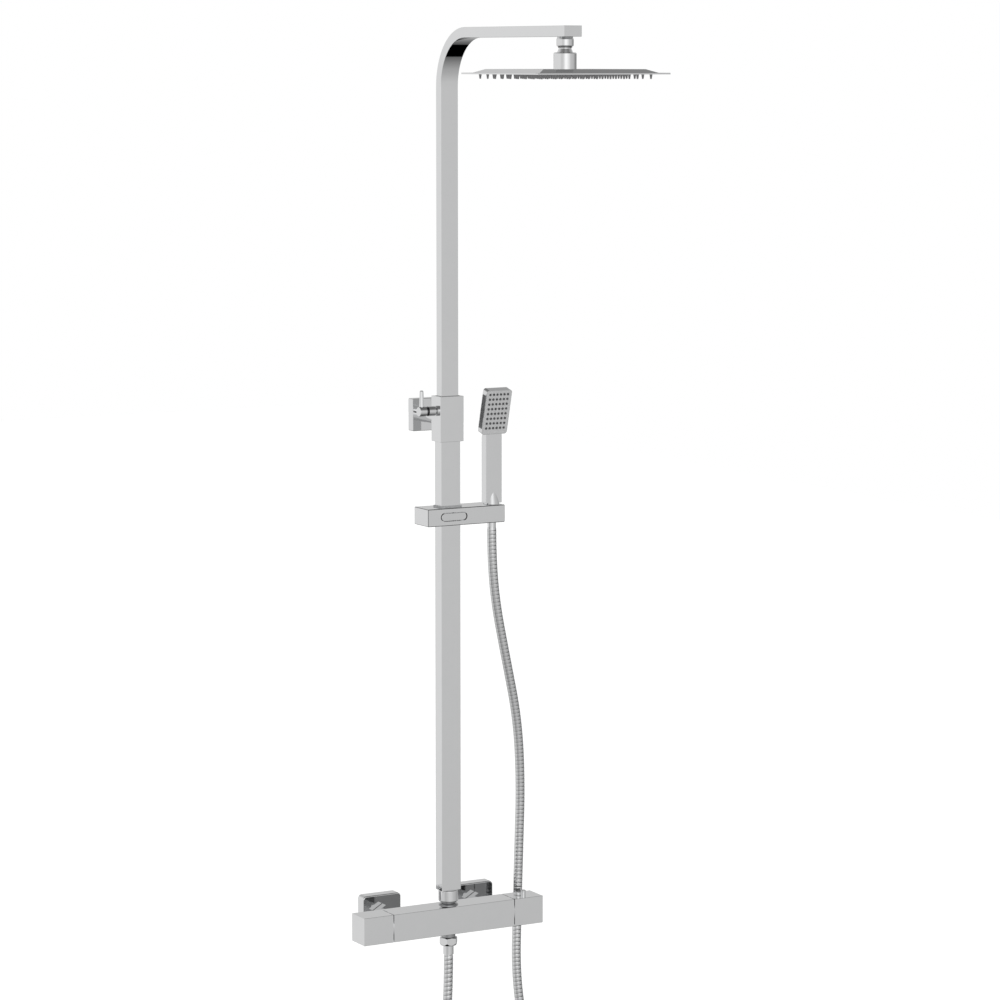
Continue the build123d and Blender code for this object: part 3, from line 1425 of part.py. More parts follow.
# ---------------------------------------------------------------- hose
hose_points = [
    (handset_offset, bar_y, hose_top),
    (handset_offset, bar_y, 515.0),
    (78.6, -72.6, 446.0),
    (99.5, -65.5, 364.0),
    (125.0, -54.0, 272.0),
    (135.6, -44.5, 178.0),
    (135.2, -40.0, 82.0),
    (132.6, -39.4, -14.0),
    (129.6, -41.2, -106.0),
    (141.0, -44.0, -190.0),
    (156.0, -49.0, -275.0),
    (152.0, -54.0, -355.0),
    (118.0, -60.0, -425.0),
    (52.0, -66.0, -450.0),
    (-8.0, -70.0, -415.0),
    (-30.0, -73.0, -345.0),
    (-26.0, -75.0, -262.0),
    (-7.0, -76.2, -180.0),
    (0.0, bar_y, -108.0),
    (0.0, bar_y, hose_bottom),
]
hose_radii = []
for i in range(1, len(hose_points) - 1):
    before = Vector(hose_points[i]) - Vector(hose_points[i - 1])
    after = Vector(hose_points[i + 1]) - Vector(hose_points[i])
    half_turn = radians(before.get_angle(after)) / 2
    hose_radii.append(0.45 * min(before.length, after.length) / tan(half_turn))

with BuildPart() as shower_hose:
    with BuildLine() as hose_path:
        FilletPolyline(*hose_points, radius=hose_radii)
    with BuildSketch(Plane(origin=hose_path.line @ 0, z_dir=hose_path.line % 0)):
        Circle(hose_radius)
    sweep(path=hose_path.line)
shower_hose.part.label = "shower_hose"
export_step(shower_hose.part, "parts/shower_hose.step")

hose_length = sum(edge.length for edge in hose_path.edges())
print("hose radii", [round(r) for r in hose_radii])
print("hose length", round(hose_length, 1))
print("hose volume ratio", shower_hose.part.volume / (pi * hose_radius ** 2 * hose_length))
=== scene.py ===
"""Looks of the rainfall shower column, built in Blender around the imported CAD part."""
import bisect
import json
import math

import bmesh
import bpy
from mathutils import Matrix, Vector


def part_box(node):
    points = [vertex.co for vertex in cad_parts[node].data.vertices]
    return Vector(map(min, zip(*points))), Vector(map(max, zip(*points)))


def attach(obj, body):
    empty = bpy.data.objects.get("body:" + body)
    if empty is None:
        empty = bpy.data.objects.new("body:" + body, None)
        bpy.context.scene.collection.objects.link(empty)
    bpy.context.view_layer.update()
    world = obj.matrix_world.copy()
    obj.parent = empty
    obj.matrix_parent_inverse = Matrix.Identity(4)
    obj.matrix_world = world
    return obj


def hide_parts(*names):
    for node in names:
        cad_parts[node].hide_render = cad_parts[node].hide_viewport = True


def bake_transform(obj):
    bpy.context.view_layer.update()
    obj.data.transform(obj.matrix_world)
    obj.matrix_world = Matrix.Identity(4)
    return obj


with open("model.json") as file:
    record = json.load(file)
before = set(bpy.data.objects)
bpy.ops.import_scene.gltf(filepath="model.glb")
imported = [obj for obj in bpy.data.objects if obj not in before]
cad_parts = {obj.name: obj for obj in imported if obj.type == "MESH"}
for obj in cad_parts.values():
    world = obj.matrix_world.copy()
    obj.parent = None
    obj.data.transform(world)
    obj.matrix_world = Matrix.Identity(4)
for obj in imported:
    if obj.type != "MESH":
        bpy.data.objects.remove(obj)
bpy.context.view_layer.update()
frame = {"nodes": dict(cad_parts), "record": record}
nodes = frame["nodes"]
record = frame["record"]

# ---------------------------------------------------------------- camera
CAMERA_PLACE = (-2.3334, -4.4271, 1.2118)
CAMERA_AZIMUTH = math.radians(29.057)      # to the left of the part's front
CAMERA_PITCH = math.radians(7.086)         # looking down
CAMERA_LENS, CAMERA_SENSOR = 127.915, 36.0  # in mm
CAMERA_REACH = 60.0                        # how far the camera sees


def add_camera():
    data = bpy.data.cameras.new("camera")
    data.sensor_width = CAMERA_SENSOR
    data.lens = CAMERA_LENS
    data.clip_end = CAMERA_REACH
    camera = bpy.data.objects.new("camera", data)
    camera.location = CAMERA_PLACE
    camera.rotation_euler = (math.pi / 2 - CAMERA_PITCH, 0.0, -CAMERA_AZIMUTH)
    bpy.context.scene.collection.objects.link(camera)
    bpy.context.scene.camera = camera


# ---------------------------------------------------------------- hose
# from the ferrule in the holder down to the ferrule under the bar
HOSE_ROUTE = (
    (0.0704, -0.0765, 0.556), (0.0704, -0.0765, 0.515), (0.0786, -0.0726, 0.446), (0.0995, -0.0655, 0.364),
    (0.125, -0.054, 0.272), (0.1356, -0.0445, 0.178), (0.1352, -0.04, 0.082), (0.1326, -0.0394, -0.014),
    (0.1296, -0.0412, -0.106), (0.141, -0.044, -0.19), (0.156, -0.049, -0.275), (0.152, -0.054, -0.355),
    (0.118, -0.06, -0.425), (0.052, -0.066, -0.45), (-0.008, -0.07, -0.415), (-0.03, -0.073, -0.345),
    (-0.026, -0.075, -0.262), (-0.007, -0.0762, -0.18), (0.0, -0.0765, -0.108), (0.0, -0.0765, -0.05225),
)
HOSE_RADIUS = 0.0066
HOSE_SIDES = 26
PITCH_UPPER, PITCH_LOWER = 0.0054, 0.0064  # from groove to groove, at the hose's two ends
# one rib from groove to groove: its place as a share of the pitch, the share of the groove's width
# that is added to the place, and the share of the groove's depth
RIB_PROFILE = ((0.0, 0.0, 1.0), (0.0, 1.0, 1.0), (0.03, 1.0, 0.2), (0.07, 1.0, 0.02), (0.5, 0.3, 0.0),
               (0.93, 0.0, 0.02), (0.97, 0.0, 0.2))
GROOVE_FACES = 1                           # the first face of each rib is the floor of the groove
GROOVE_UPPER, GROOVE_LOWER = 0.00020, 0.00055  # its depth at the hose's two ends
# the groove's width as a share of the pitch: where it is closed, and what it would be if it opened
# by the whole cosine; it opens on one side of the hose, by the cosine less the value it starts from
WIDTH_CLOSED, WIDTH_OPEN = 0.012, 0.34
# the grooves open widest on the side towards the camera's right, so their painted shade shows widest there
OPEN_SIDE = Vector((0.874, -0.486, 0.0))
OPEN_FROM = 0.3
END_TAPER, END_DROP = 0.004, 0.0007        # each end narrows over this length by this much
SLEEVE_RADIUS, SLEEVE_LENGTH = 0.0047, 0.064  # it slides out of the hose's upper end
PATH_STEPS = 240
SPLINE_STEPS = 32                          # per point of the route
MERGE_DISTANCE, LEAST_AREA = 1e-6, 1e-12   # points nearer and faces smaller than this are removed


def spline_line(name, points):
    """Points along a smooth NURBS spline through the route."""
    curve = bpy.data.curves.new(name, "CURVE")
    curve.dimensions = "3D"
    spline = curve.splines.new("NURBS")
    spline.points.add(len(points) - 1)
    for spline_point, place in zip(spline.points, points):
        spline_point.co = (*place, 1.0)
    spline.order_u = 3
    spline.use_endpoint_u = True
    spline.resolution_u = SPLINE_STEPS
    holder = bpy.data.objects.new(name, curve)
    mesh = bpy.data.meshes.new_from_object(holder)
    line = [v.co.copy() for v in mesh.vertices]
    bpy.data.objects.remove(holder)
    bpy.data.curves.remove(curve)
    bpy.data.meshes.remove(mesh)
    return line


class Line:
    """A polyline with places and frames by distance along it."""

    def __init__(self, points):
        self.points = points
        self.at = [0.0]
        for a, b in zip(points, points[1:]):
            self.at.append(self.at[-1] + (b - a).length)
        self.length = self.at[-1]
        straight = [(b - a).normalized() for a, b in zip(points, points[1:])]
        between = [(a + b).normalized() for a, b in zip(straight, straight[1:])]
        self.tangents = [straight[0]] + between + [straight[-1]]
        self.across = []
        across = straight[0].orthogonal().normalized()
        for tangent in self.tangents:
            across = (across - tangent * across.dot(tangent)).normalized()
            self.across.append(across)

    def frame(self, s):
        """Centre and two vectors across the line at distance s."""
        s = min(max(s, 0.0), self.length)
        low = min(bisect.bisect_right(self.at, s), len(self.at) - 1) - 1
        high = low + 1
        share = (s - self.at[low]) / (self.at[high] - self.at[low])
        centre = self.points[low].lerp(self.points[high], share)
        tangent = self.tangents[low].lerp(self.tangents[high], share).normalized()
        across = self.across[low].lerp(self.across[high], share)
        across = (across - tangent * across.dot(tangent)).normalized()
        return centre, across, tangent.cross(across)

    def outward(self, s, angle):
        """Centre at distance s, and the direction away from it at an angle round the line."""
        centre, u, v = self.frame(s)
        return centre, u * math.cos(angle) + v * math.sin(angle)


def add_mesh(name, vertices, faces, smooth=True):
    mesh = bpy.data.meshes.new(name)
    mesh.from_pydata([tuple(v) for v in vertices], [], faces)
    if smooth:
        mesh.shade_smooth()
    mesh.update()
    obj = bpy.data.objects.new(name, mesh)
    bpy.context.scene.collection.objects.link(obj)
    return obj


def rib_place(turn, growth, length):
    """Distance along the tube after so many turns of the rib."""
    return min(max(PITCH_UPPER / growth * (math.exp(turn * growth) - 1.0), 0.0), length)


def ribbed_tube(name, line, length, radius):
    """A tube with a helical rib wound round it, from the line's start on."""
    growth = (PITCH_LOWER - PITCH_UPPER) / line.length
    turns = math.ceil(math.log(1.0 + growth * length / PITCH_UPPER) / growth) + 1
    rows = [(turn + share, stretch, depth) for turn in range(-1, turns)
            for share, stretch, depth in RIB_PROFILE]
    vertices = []
    for turn, stretch, depth in rows:
        for j in range(HOSE_SIDES):
            angle = 2 * math.pi * j / HOSE_SIDES
            s = rib_place(turn + j / HOSE_SIDES, growth, length)
            opened = max(0.0, line.outward(s, angle)[1].dot(OPEN_SIDE) - OPEN_FROM)
            width = WIDTH_CLOSED + (WIDTH_OPEN - WIDTH_CLOSED) * opened
            s = rib_place(turn + j / HOSE_SIDES + stretch * width, growth, length)
            centre, out = line.outward(s, angle)
            edge = min(1.0, min(s, length - s) / END_TAPER)
            groove = GROOVE_UPPER + (GROOVE_LOWER - GROOVE_UPPER) * s / line.length
            r = radius - depth * groove * edge - (1.0 - edge) * END_DROP
            vertices.append(centre + out * r)
    per_turn = len(RIB_PROFILE)
    faces, groove_shade_faces = [], []
    for i in range(len(rows) - 1):
        for j in range(HOSE_SIDES):
            a = i * HOSE_SIDES + j
            if j < HOSE_SIDES - 1:
                b = a + 1
            elif i + per_turn + 1 < len(rows):
                b = (i + per_turn) * HOSE_SIDES
            else:
                continue
            faces.append((a, a + HOSE_SIDES, b + HOSE_SIDES, b))
            # the groove faces take the second material, a painted shade in the grooves
            groove_shade_faces.append(int(i % per_turn < GROOVE_FACES))
    obj = add_mesh(name, vertices, faces, smooth=False)
    obj.data.polygons.foreach_set("material_index", groove_shade_faces)
    bm = bmesh.new()
    bm.from_mesh(obj.data)
    bmesh.ops.remove_doubles(bm, verts=bm.verts, dist=MERGE_DISTANCE)
    flat = [f for f in bm.faces if f.calc_area() < LEAST_AREA]
    bmesh.ops.delete(bm, geom=flat, context="FACES")
    loose = [v for v in bm.verts if not v.link_faces]
    bmesh.ops.delete(bm, geom=loose, context="VERTS")
    bmesh.ops.recalc_face_normals(bm, faces=bm.faces)
    bm.to_mesh(obj.data)
    bm.free()
    obj.data.shade_smooth()
    return obj


def add_hose():
    """The ribbed hose and the thinner sleeve that comes out of it when the hand shower is lifted."""
    line = Line(spline_line("route", [Vector(p) for p in HOSE_ROUTE]))
    hose = ribbed_tube("hose_ribbed", line, line.length, HOSE_RADIUS)
    sleeve = ribbed_tube("hose_sleeve", line, SLEEVE_LENGTH, SLEEVE_RADIUS)
    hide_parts("shower_hose")
    path = [line.frame(line.length * i / PATH_STEPS)[0] for i in range(PATH_STEPS + 1)]
    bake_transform(hose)
    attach(sleeve, "hose_end")
    return hose, sleeve


# ---------------------------------------------------------------- small pieces
def turned_ring(name, centre, profile, sides):
    """A closed ring turned about the vertical through centre, from (radius, height) points."""
    count = len(profile)
    vertices = [(centre[0] + r * math.cos(a), centre[1] + r * math.sin(a), centre[2] + z)
                for a in (2 * math.pi * j / sides for j in range(sides)) for r, z in profile]
    faces = []
    for j in range(sides):
        for i in range(count):
            a, b = j * count + i, j * count + (i + 1) % count
            c, d = ((j + 1) % sides) * count + (i + 1) % count, ((j + 1) % sides) * count + i
            faces.append((a, d, c, b))
    return add_mesh(name, vertices, faces)


WASHER_INNER, WASHER_OUTER, WASHER_EDGE = 0.00835, 0.0093, 0.0003
WASHER_TOP, WASHER_HEIGHT = 1.2269, 0.0013
WASHER_SIDES = 48


def add_swivel_washer():
    """The black ring under the upper cylinder of the rain head's swivel."""
    stem_low, stem_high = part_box("ball_stem")
    centre = ((stem_low[0] + stem_high[0]) / 2, (stem_low[1] + stem_high[1]) / 2,
              WASHER_TOP - WASHER_HEIGHT)
    edge, top = WASHER_EDGE, WASHER_HEIGHT
    profile = [(WASHER_INNER, 0.0), (WASHER_OUTER - edge, 0.0), (WASHER_OUTER, edge),
               (WASHER_OUTER, top - edge), (WASHER_OUTER - edge, top), (WASHER_INNER, top)]
    washer = turned_ring("swivel_washer", centre, profile, WASHER_SIDES)
    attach(washer, "riser")
    return washer


# ---------------------------------------------------------------- materials
NOISE_LOW, NOISE_HIGH = 0.3, 0.7           # nearly all of a noise texture's values lie between these
GLOSS_SHARE, GLOSS_DETAIL = 0.4, 5.0       # a metal's gloss varies more slowly than its colour
GRAIN_DEPTH, GRAIN_DETAIL = 0.00001, 2.0
METAL_GRAIN, PLASTIC_GRAIN = 600.0, 1500.0  # scale of the noise in the surface
PLASTIC_SCALE = 300.0                      # and of that in a plastic's colour


def new_material(name):
    material = bpy.data.materials.new(name)
    material.use_nodes = True
    tree = material.node_tree
    return material, tree, tree.nodes["Principled BSDF"]


def noise(tree, scale, detail=3.0):
    coordinate = tree.nodes.new("ShaderNodeTexCoord")
    texture = tree.nodes.new("ShaderNodeTexNoise")
    texture.inputs["Scale"].default_value = scale
    texture.inputs["Detail"].default_value = detail
    tree.links.new(coordinate.outputs["Object"], texture.inputs["Vector"])
    return texture.outputs["Fac"]


def ranged(tree, socket, low, high, from_low=NOISE_LOW, from_high=NOISE_HIGH):
    """The socket's values between from_low and from_high, spread from low to high and held there."""
    node = tree.nodes.new("ShaderNodeMapRange")
    node.inputs["From Min"].default_value = from_low
    node.inputs["From Max"].default_value = from_high
    node.inputs["To Min"].default_value = low
    node.inputs["To Max"].default_value = high
    tree.links.new(socket, node.inputs["Value"])
    return node.outputs["Result"]


def bumped(tree, shader, socket, distance):
    node = tree.nodes.new("ShaderNodeBump")
    node.inputs["Strength"].default_value = 1.0
    node.inputs["Distance"].default_value = distance
    tree.links.new(socket, node.inputs["Height"])
    tree.links.new(node.outputs["Normal"], shader.inputs["Normal"])


def mixed_colour(tree, socket, dark, light):
    node = tree.nodes.new("ShaderNodeMix")
    node.data_type = "RGBA"
    tree.links.new(socket, node.inputs["Factor"])
    node.inputs["A"].default_value = (*dark, 1.0)
    node.inputs["B"].default_value = (*light, 1.0)
    return node.outputs["Result"]


def metal(name, dark, light, smooth, rough, scale=60.0, bump=0.0):
    """A metal whose colour and gloss vary a little, as a thin film of water marks does."""
    material, tree, shader = new_material(name)
    shader.inputs["Metallic"].default_value = 1.0
    tree.links.new(mixed_colour(tree, noise(tree, scale), dark, light), shader.inputs["Base Color"])
    gloss = noise(tree, scale * GLOSS_SHARE, GLOSS_DETAIL)
    tree.links.new(ranged(tree, gloss, smooth, rough), shader.inputs["Roughness"])
    if bump:
        bumped(tree, shader, noise(tree, METAL_GRAIN, GRAIN_DETAIL), bump)
    return material


def plastic(name, dark, light, smooth, rough):
    """A plastic or rubber with a fine grain in its colour, gloss and surface."""
    material, tree, shader = new_material(name)
    grain = noise(tree, PLASTIC_SCALE)
    tree.links.new(mixed_colour(tree, grain, dark, light), shader.inputs["Base Color"])
    tree.links.new(ranged(tree, grain, smooth, rough), shader.inputs["Roughness"])
    bumped(tree, shader, noise(tree, PLASTIC_GRAIN, GRAIN_DETAIL), GRAIN_DEPTH)
    return material


FLAT_COSINE = 0.995                        # a face counts as flat to an axis within about 6 degrees
PANEL_DEPTH = 0.0002
BACK_COSINE = 0.8                          # a face counts as the back within about 37 degrees of the wall
KNOB_GROOVE = (0.0104, 0.0143)             # from the knob's free end
KNOB_GROOVE_RADIUS = 0.0064
HEAD_SHARE = 0.60                          # the head takes the hand shower's height from this share up
EDGE_BAND = 0.0016                         # an outer edge's faces lie this near to two sides of the box


def in_side_panel(centre, normal, low, high):
    """The shallow panels in the two sides of the hand shower's head."""
    middle, half = (low[0] + high[0]) / 2, (high[0] - low[0]) / 2
    inside = half - abs(centre.x - middle)
    return (abs(normal.x) > FLAT_COSINE and centre.z > low[2] + (high[2] - low[2]) * HEAD_SHARE
            and PANEL_DEPTH / 2 < inside < PANEL_DEPTH * 2)


def in_knob_groove(centre, normal, low, high):
    """The groove round the lock knob, which gets a painted shade."""
    along = centre.x - low[0]
    out = math.hypot(centre.y - (low[1] + high[1]) / 2, centre.z - (low[2] + high[2]) / 2)
    return KNOB_GROOVE[0] < along < KNOB_GROOVE[1] and out < KNOB_GROOVE_RADIUS


def towards_wall(centre, normal, low, high):
    """The back of a piece, facing the wall, which gets a painted shade."""
    return normal.y > BACK_COSINE


def on_outer_edge(centre, normal, low, high):
    """The rounded outer edges of a box-shaped body, which get a painted shade."""
    near = sum(min(c - a, b - c) < EDGE_BAND for c, a, b in zip(centre, low, high))
    return near >= 2 and max(abs(n) for n in normal) < FLAT_COSINE


def faced(obj, material, chosen):
    """Gives the faces that are chosen a second material."""
    low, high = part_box(obj.name)
    obj.data.materials.append(material)
    for polygon in obj.data.polygons:
        if chosen(polygon.center, polygon.normal, low, high):
            polygon.material_index = 1


def dress():
    """Materials by slot for every node, then those of single pieces and of chosen faces."""
    materials = {
        "chrome": metal("chrome_polished", (0.775, 0.78, 0.785), (0.80, 0.803, 0.806), 0.035, 0.06),
        "chrome_plastic": metal("chrome_on_plastic", (0.765, 0.77, 0.775), (0.79, 0.793, 0.797),
                                0.05, 0.08),
        "brass": metal("brass_machined", (0.66, 0.50, 0.24), (0.76, 0.60, 0.33), 0.18, 0.32, 90.0,
                       GRAIN_DEPTH),
        "steel": metal("steel_plain", (0.50, 0.50, 0.51), (0.62, 0.62, 0.63), 0.16, 0.3, 120.0,
                       GRAIN_DEPTH),
        "black_rubber": plastic("rubber_black", (0.02, 0.02, 0.021), (0.035, 0.035, 0.036), 0.5, 0.7),
        "grey_plastic": plastic("plastic_grey", (0.505, 0.508, 0.51), (0.54, 0.543, 0.545), 0.25, 0.35),
        "white_plastic": plastic("plastic_white", (0.78, 0.78, 0.76), (0.84, 0.84, 0.82), 0.3, 0.42),
        "pale_plastic": plastic("plastic_pale", (0.40, 0.405, 0.41), (0.45, 0.455, 0.46), 0.25, 0.38),
    }
    own = {
        "rain_nozzle_mat": plastic("silicone_light", (0.26, 0.26, 0.265), (0.31, 0.31, 0.315), 0.35, 0.5),
        "handset_nozzles": plastic("silicone_black", (0.055, 0.055, 0.058), (0.08, 0.08, 0.083), 0.4, 0.55),
        # painted reflection: the wall unions get a dark steel that stands in for the dark surroundings they
        # reflect
        "wall_unions": metal("steel_painted_dark_reflection", (0.10, 0.10, 0.105), (0.17, 0.17, 0.175), 0.2, 0.3, 120.0),
    }
    slot_of = {part["node"]: part["material_slot"] for part in record["subparts"]}
    for name, obj in nodes.items():
        obj.data.materials.clear()
        obj.data.materials.append(own.get(name) or materials[slot_of[name]])
    # painted shade: a dark copy of the polished chrome, standing in for the shade and dark reflection under
    # the bar
    painted_shade_chrome = metal("chrome_shaded", (0.36, 0.365, 0.37), (0.42, 0.423, 0.426), 0.06, 0.1)
    for name in ("outlet_rosette", "top_outlet_nipple", "bottom_outlet_nipple"):
        nodes[name].data.materials[0] = painted_shade_chrome
    materials["hose"] = metal("steel_hose", (0.68, 0.685, 0.69), (0.72, 0.723, 0.726), 0.05, 0.09, 200.0)
    # painted shade: a dark steel for the hose's groove faces and the lock knob's groove, standing in for
    # the shade inside the grooves
    materials["groove"] = metal("steel_groove_painted_shade", (0.10, 0.10, 0.105), (0.16, 0.16, 0.165), 0.35, 0.5, 200.0)
    side_grey = plastic("plastic_side", (0.085, 0.086, 0.088), (0.11, 0.111, 0.113), 0.22, 0.32)
    faced(nodes["handset_body"], side_grey, in_side_panel)
    # painted shade: the slider's rounded outer edges get a dark chrome that stands in for the dark they
    # reflect
    painted_shade_edge_chrome = metal("chrome_edges_painted_shade", (0.34, 0.345, 0.35), (0.38, 0.383, 0.386), 0.06, 0.1)
    faced(nodes["slider_body"], painted_shade_edge_chrome, on_outer_edge)
    # painted shade on the union nuts' backs, facing the wall
    faced(nodes["union_nuts"], own["wall_unions"], towards_wall)
    # painted shade in the lock knob's groove
    faced(nodes["lock_knob"], materials["groove"], in_knob_groove)
    # painted shade on the backs of the valve and its handles, facing the wall
    for name in ("valve_body", "flow_handle", "temperature_handle"):
        faced(nodes[name], painted_shade_chrome, towards_wall)
    return materials


# ---------------------------------------------------------------- studio
# brightness that the metal sees, by direction in degrees: 0 is the camera's own side, and the angle
# grows towards the camera's right
AROUND_LEVEL = ((-180, 0.45), (-165, 0.60), (-150, 0.78), (-140, 0.85), (-122, 0.82), (-50, 0.83),
                (-41, 0.73), (-30, 0.70), (-20, 0.75), (-10, 0.88), (0, 1.15), (9, 1.21), (18, 1.18),
                (28, 1.04), (38, 0.93), (49, 0.79), (57, 0.645), (60, 0.64), (72, 0.62), (84, 0.59),
                (98, 0.53), (114, 0.36), (135, 0.26), (150, 0.30), (165, 0.38), (180, 0.45))
AROUND_LOW = ((-180, 0.45), (-150, 0.70), (-119, 0.84), (-84, 0.85), (-56, 0.74), (-32, 0.53),
              (-9, 0.63), (14, 0.75), (37, 0.73), (61, 0.615), (90, 0.53), (129, 0.28), (150, 0.30),
              (165, 0.38), (180, 0.45))
AROUND_HIGH = ((-180, 0.63), (-165, 0.70), (-150, 0.78), (-122, 0.83), (-50, 0.83), (-41, 0.73),
               (-30, 0.70), (-20, 0.75), (-10, 0.88), (0, 1.15), (9, 1.21), (18, 1.18), (28, 1.04),
               (38, 0.93), (49, 0.79), (57, 0.655), (60, 0.65), (72, 0.63), (84, 0.60), (98, 0.54),
               (114, 0.50), (135, 0.55), (150, 0.60), (165, 0.63), (180, 0.63))
LOW_LIMIT = -14.0                          # elevation where the low ring is whole
HIGH_LIMIT = 8.0                           # elevation where the high ring is whole
# share of that brightness by elevation
UPWARD = ((-90, 0.0), (-60, 0.0), (-58.5, 0.30), (-53.8, 0.363), (-47.5, 0.488), (-40.9, 0.594),
          (-34, 0.727), (-27, 0.79), (-20, 0.89), (-14, 0.965), (-11, 0.99), (-8, 1.0), (10, 1.0),
          (20, 0.93), (33, 0.57), (35.5, 0.38), (40, 0.30), (57, 0.25), (60, 0.25), (90, 0.15))
# degrees by which the dark floor sinks on the camera's side and rises on the far one, and the
# elevations between which that sets in
FLOOR_TILT = 9.3
TILT_START, TILT_WHOLE = -15.0, -45.0
AMBIENT = 0.55                             # what matt surfaces see of a white world
FLOOR_LEVEL = -1.0
FLOOR_SIZE = 8.0
FLOOR_GREY = 0.8
FLOOR_GLOW = 0.42                          # what the camera sees on top of the lit floor, up to white
# name, direction of the light, strength, and apparent size in degrees
LAMPS = (("key", (0.5, 0.7, -0.6), 1.2, 50), ("fill", (-0.6, 0.6, -0.4), 0.5, 70))


def share_between(tree, socket, low, high):
    """0 where the socket is at or past low, 1 where it is at or past high."""
    return ranged(tree, socket, 0.0, 1.0, low, high)


def add_ramp(tree, socket, stops, low, high):
    """A brightness that runs through the stops as the socket goes from low to high."""
    ramp = tree.nodes.new("ShaderNodeValToRGB")
    elements = ramp.color_ramp.elements
    while len(elements) > 1:
        elements.remove(elements[-1])
    for i, (at, value) in enumerate(stops):
        share = (at - low) / (high - low)
        element = elements[0] if i == 0 else elements.new(share)
        element.position = share
        element.color = (value, value, value, 1.0)
    tree.links.new(share_between(tree, socket, low, high), ramp.inputs["Fac"])
    return ramp.outputs["Color"]


def maths(tree, operation, *values):
    node = tree.nodes.new("ShaderNodeMath")
    node.operation = operation
    for socket, value in zip(node.inputs, values):
        if isinstance(value, (int, float)):
            socket.default_value = value
        else:
            tree.links.new(value, socket)
    return node.outputs[0]


def blended(tree, factor, a, b):
    """Colour a where the factor is 0, and b where it is 1."""
    node = tree.nodes.new("ShaderNodeMix")
    node.data_type = "RGBA"
    for name, value in (("Factor", factor), ("A", a), ("B", b)):
        tree.links.new(value, node.inputs[name])
    return node.outputs["Result"]


def multiplied(tree, a, b):
    """The product of two colours."""
    node = tree.nodes.new("ShaderNodeMix")
    node.data_type = "RGBA"
    node.blend_type = "MULTIPLY"
    node.inputs["Factor"].default_value = 1.0
    tree.links.new(a, node.inputs["A"])
    tree.links.new(b, node.inputs["B"])
    return node.outputs["Result"]


def joined(tree, kind, *sockets):
    """A node of the kind with the sockets linked to its inputs in order, and its output if it has one."""
    node = tree.nodes.new(kind)
    for end, socket in zip(node.inputs, sockets):
        tree.links.new(socket, end)
    return node.outputs[0] if node.outputs else None


def background(tree, strength):
    """Even white light of the strength from all round."""
    node = tree.nodes.new("ShaderNodeBackground")
    node.inputs["Color"].default_value = (1.0, 1.0, 1.0, 1.0)
    node.inputs["Strength"].default_value = strength
    return node.outputs[0]


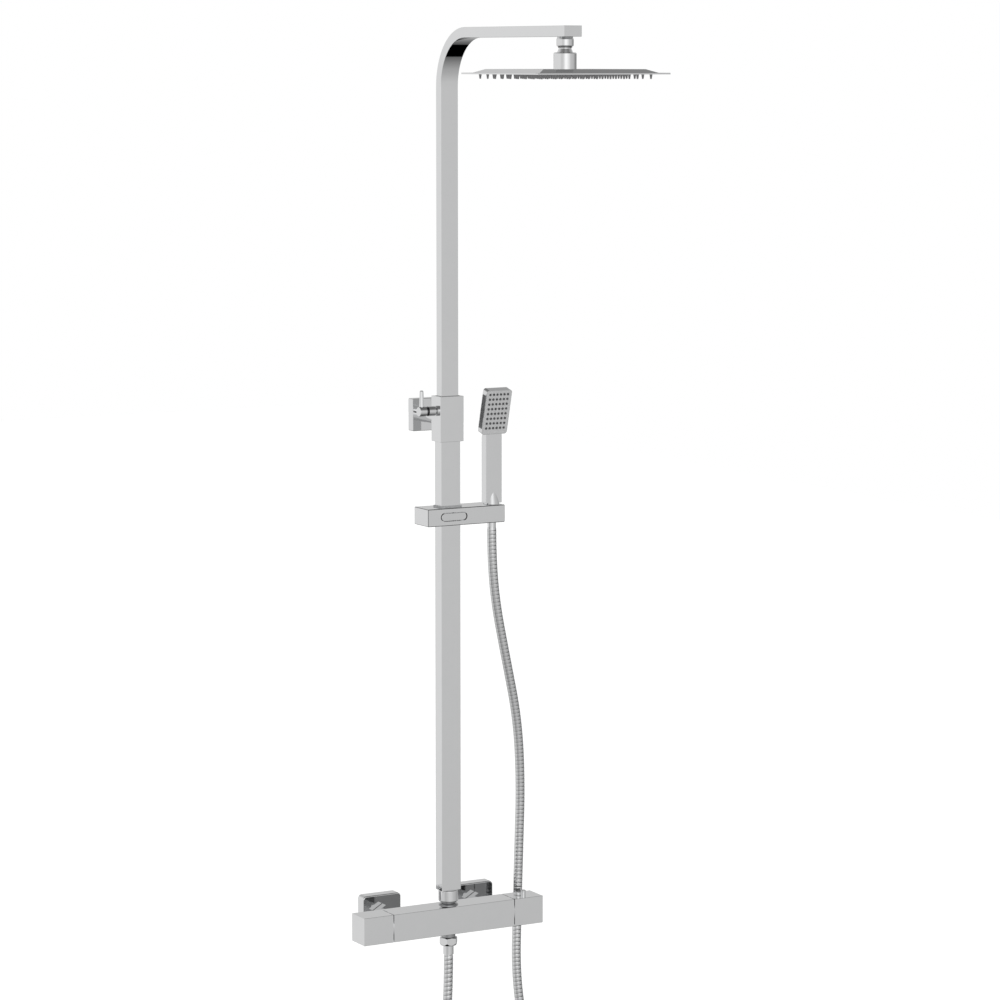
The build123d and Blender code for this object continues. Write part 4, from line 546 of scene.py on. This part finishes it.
def add_world():
    """White to the camera, the studio to polished surfaces, and an even light to matt ones."""
    world = bpy.data.worlds.new("studio")
    bpy.context.scene.world = world
    world.use_nodes = True
    tree = world.node_tree
    tree.nodes.clear()
    coordinate = tree.nodes.new("ShaderNodeTexCoord")
    parts = tree.nodes.new("ShaderNodeSeparateXYZ")
    tree.links.new(coordinate.outputs["Generated"], parts.inputs[0])
    azimuth = maths(tree, "DEGREES", maths(tree, "ARCTAN2", parts.outputs["Y"], parts.outputs["X"]))
    turned = maths(tree, "ADD", azimuth, 90.0 + math.degrees(CAMERA_AZIMUTH))
    turned = maths(tree, "WRAP", turned, 180.0, -180.0)
    elevation = maths(tree, "DEGREES", maths(tree, "ARCSINE", parts.outputs["Z"]))
    low = add_ramp(tree, turned, AROUND_LOW, -180.0, 180.0)
    level = add_ramp(tree, turned, AROUND_LEVEL, -180.0, 180.0)
    high = add_ramp(tree, turned, AROUND_HIGH, -180.0, 180.0)
    around = blended(tree, share_between(tree, elevation, LOW_LIMIT, 0.0), low, level)
    around = blended(tree, share_between(tree, elevation, 0.0, HIGH_LIMIT), around, high)
    facing = maths(tree, "COSINE", maths(tree, "RADIANS", turned))
    tilt = maths(tree, "MULTIPLY", facing, share_between(tree, elevation, TILT_START, TILT_WHOLE))
    raised = maths(tree, "ADD", elevation, maths(tree, "MULTIPLY", tilt, FLOOR_TILT))
    upward = add_ramp(tree, raised, UPWARD, -90.0, 90.0)
    seen = multiplied(tree, around, upward)
    rays = tree.nodes.new("ShaderNodeLightPath")
    white = maths(tree, "MAXIMUM", rays.outputs["Is Camera Ray"], rays.outputs["Is Transmission Ray"])
    studio = joined(tree, "ShaderNodeBackground", seen)
    pale, ambient = background(tree, 1.0), background(tree, AMBIENT)
    lit = joined(tree, "ShaderNodeMixShader", rays.outputs["Is Glossy Ray"], ambient, studio)
    joined(tree, "ShaderNodeOutputWorld", joined(tree, "ShaderNodeMixShader", white, lit, pale))


def add_lamp(name, direction, strength, angle):
    data = bpy.data.lights.new(name, "SUN")
    data.energy = strength
    data.angle = math.radians(angle)
    lamp = bpy.data.objects.new(name, data)
    lamp.rotation_euler = Vector(direction).to_track_quat("-Z", "Y").to_euler()
    lamp.visible_glossy = False
    bpy.context.scene.collection.objects.link(lamp)


def add_floor():
    """A matt floor that takes shadows, and that the camera sees as white."""
    near, far = -FLOOR_SIZE, FLOOR_SIZE * 2
    corners = [(x, y, FLOOR_LEVEL) for x, y in
               ((-FLOOR_SIZE, near), (FLOOR_SIZE, near), (FLOOR_SIZE, far), (-FLOOR_SIZE, far))]
    floor = add_mesh("floor", corners, [(0, 1, 2, 3)], smooth=False)
    material = bpy.data.materials.new("floor_pale")
    material.use_nodes = True
    tree = material.node_tree
    tree.nodes.clear()
    diffuse = tree.nodes.new("ShaderNodeBsdfDiffuse")
    diffuse.inputs["Color"].default_value = (FLOOR_GREY, FLOOR_GREY, FLOOR_GREY, 1.0)
    matt = diffuse.outputs[0]
    glow = tree.nodes.new("ShaderNodeEmission")
    glow.inputs["Strength"].default_value = FLOOR_GLOW
    glowing = joined(tree, "ShaderNodeAddShader", matt, glow.outputs[0])
    to_camera = tree.nodes.new("ShaderNodeLightPath").outputs["Is Camera Ray"]
    mix = joined(tree, "ShaderNodeMixShader", to_camera, matt, glowing)
    joined(tree, "ShaderNodeOutputMaterial", mix)
    floor.data.materials.append(material)
    floor.visible_glossy = False


add_camera()
bpy.context.scene.view_settings.view_transform = "Standard"
hose, sleeve = add_hose()
washer = add_swivel_washer()
materials = dress()
for piece in (hose, sleeve):
    piece.data.materials.append(materials["hose"])
    # the second material is the painted shade in the grooves
    piece.data.materials.append(materials["groove"])
washer.data.materials.append(materials["black_rubber"])
add_world()
for lamp in LAMPS:
    add_lamp(*lamp)
add_floor()
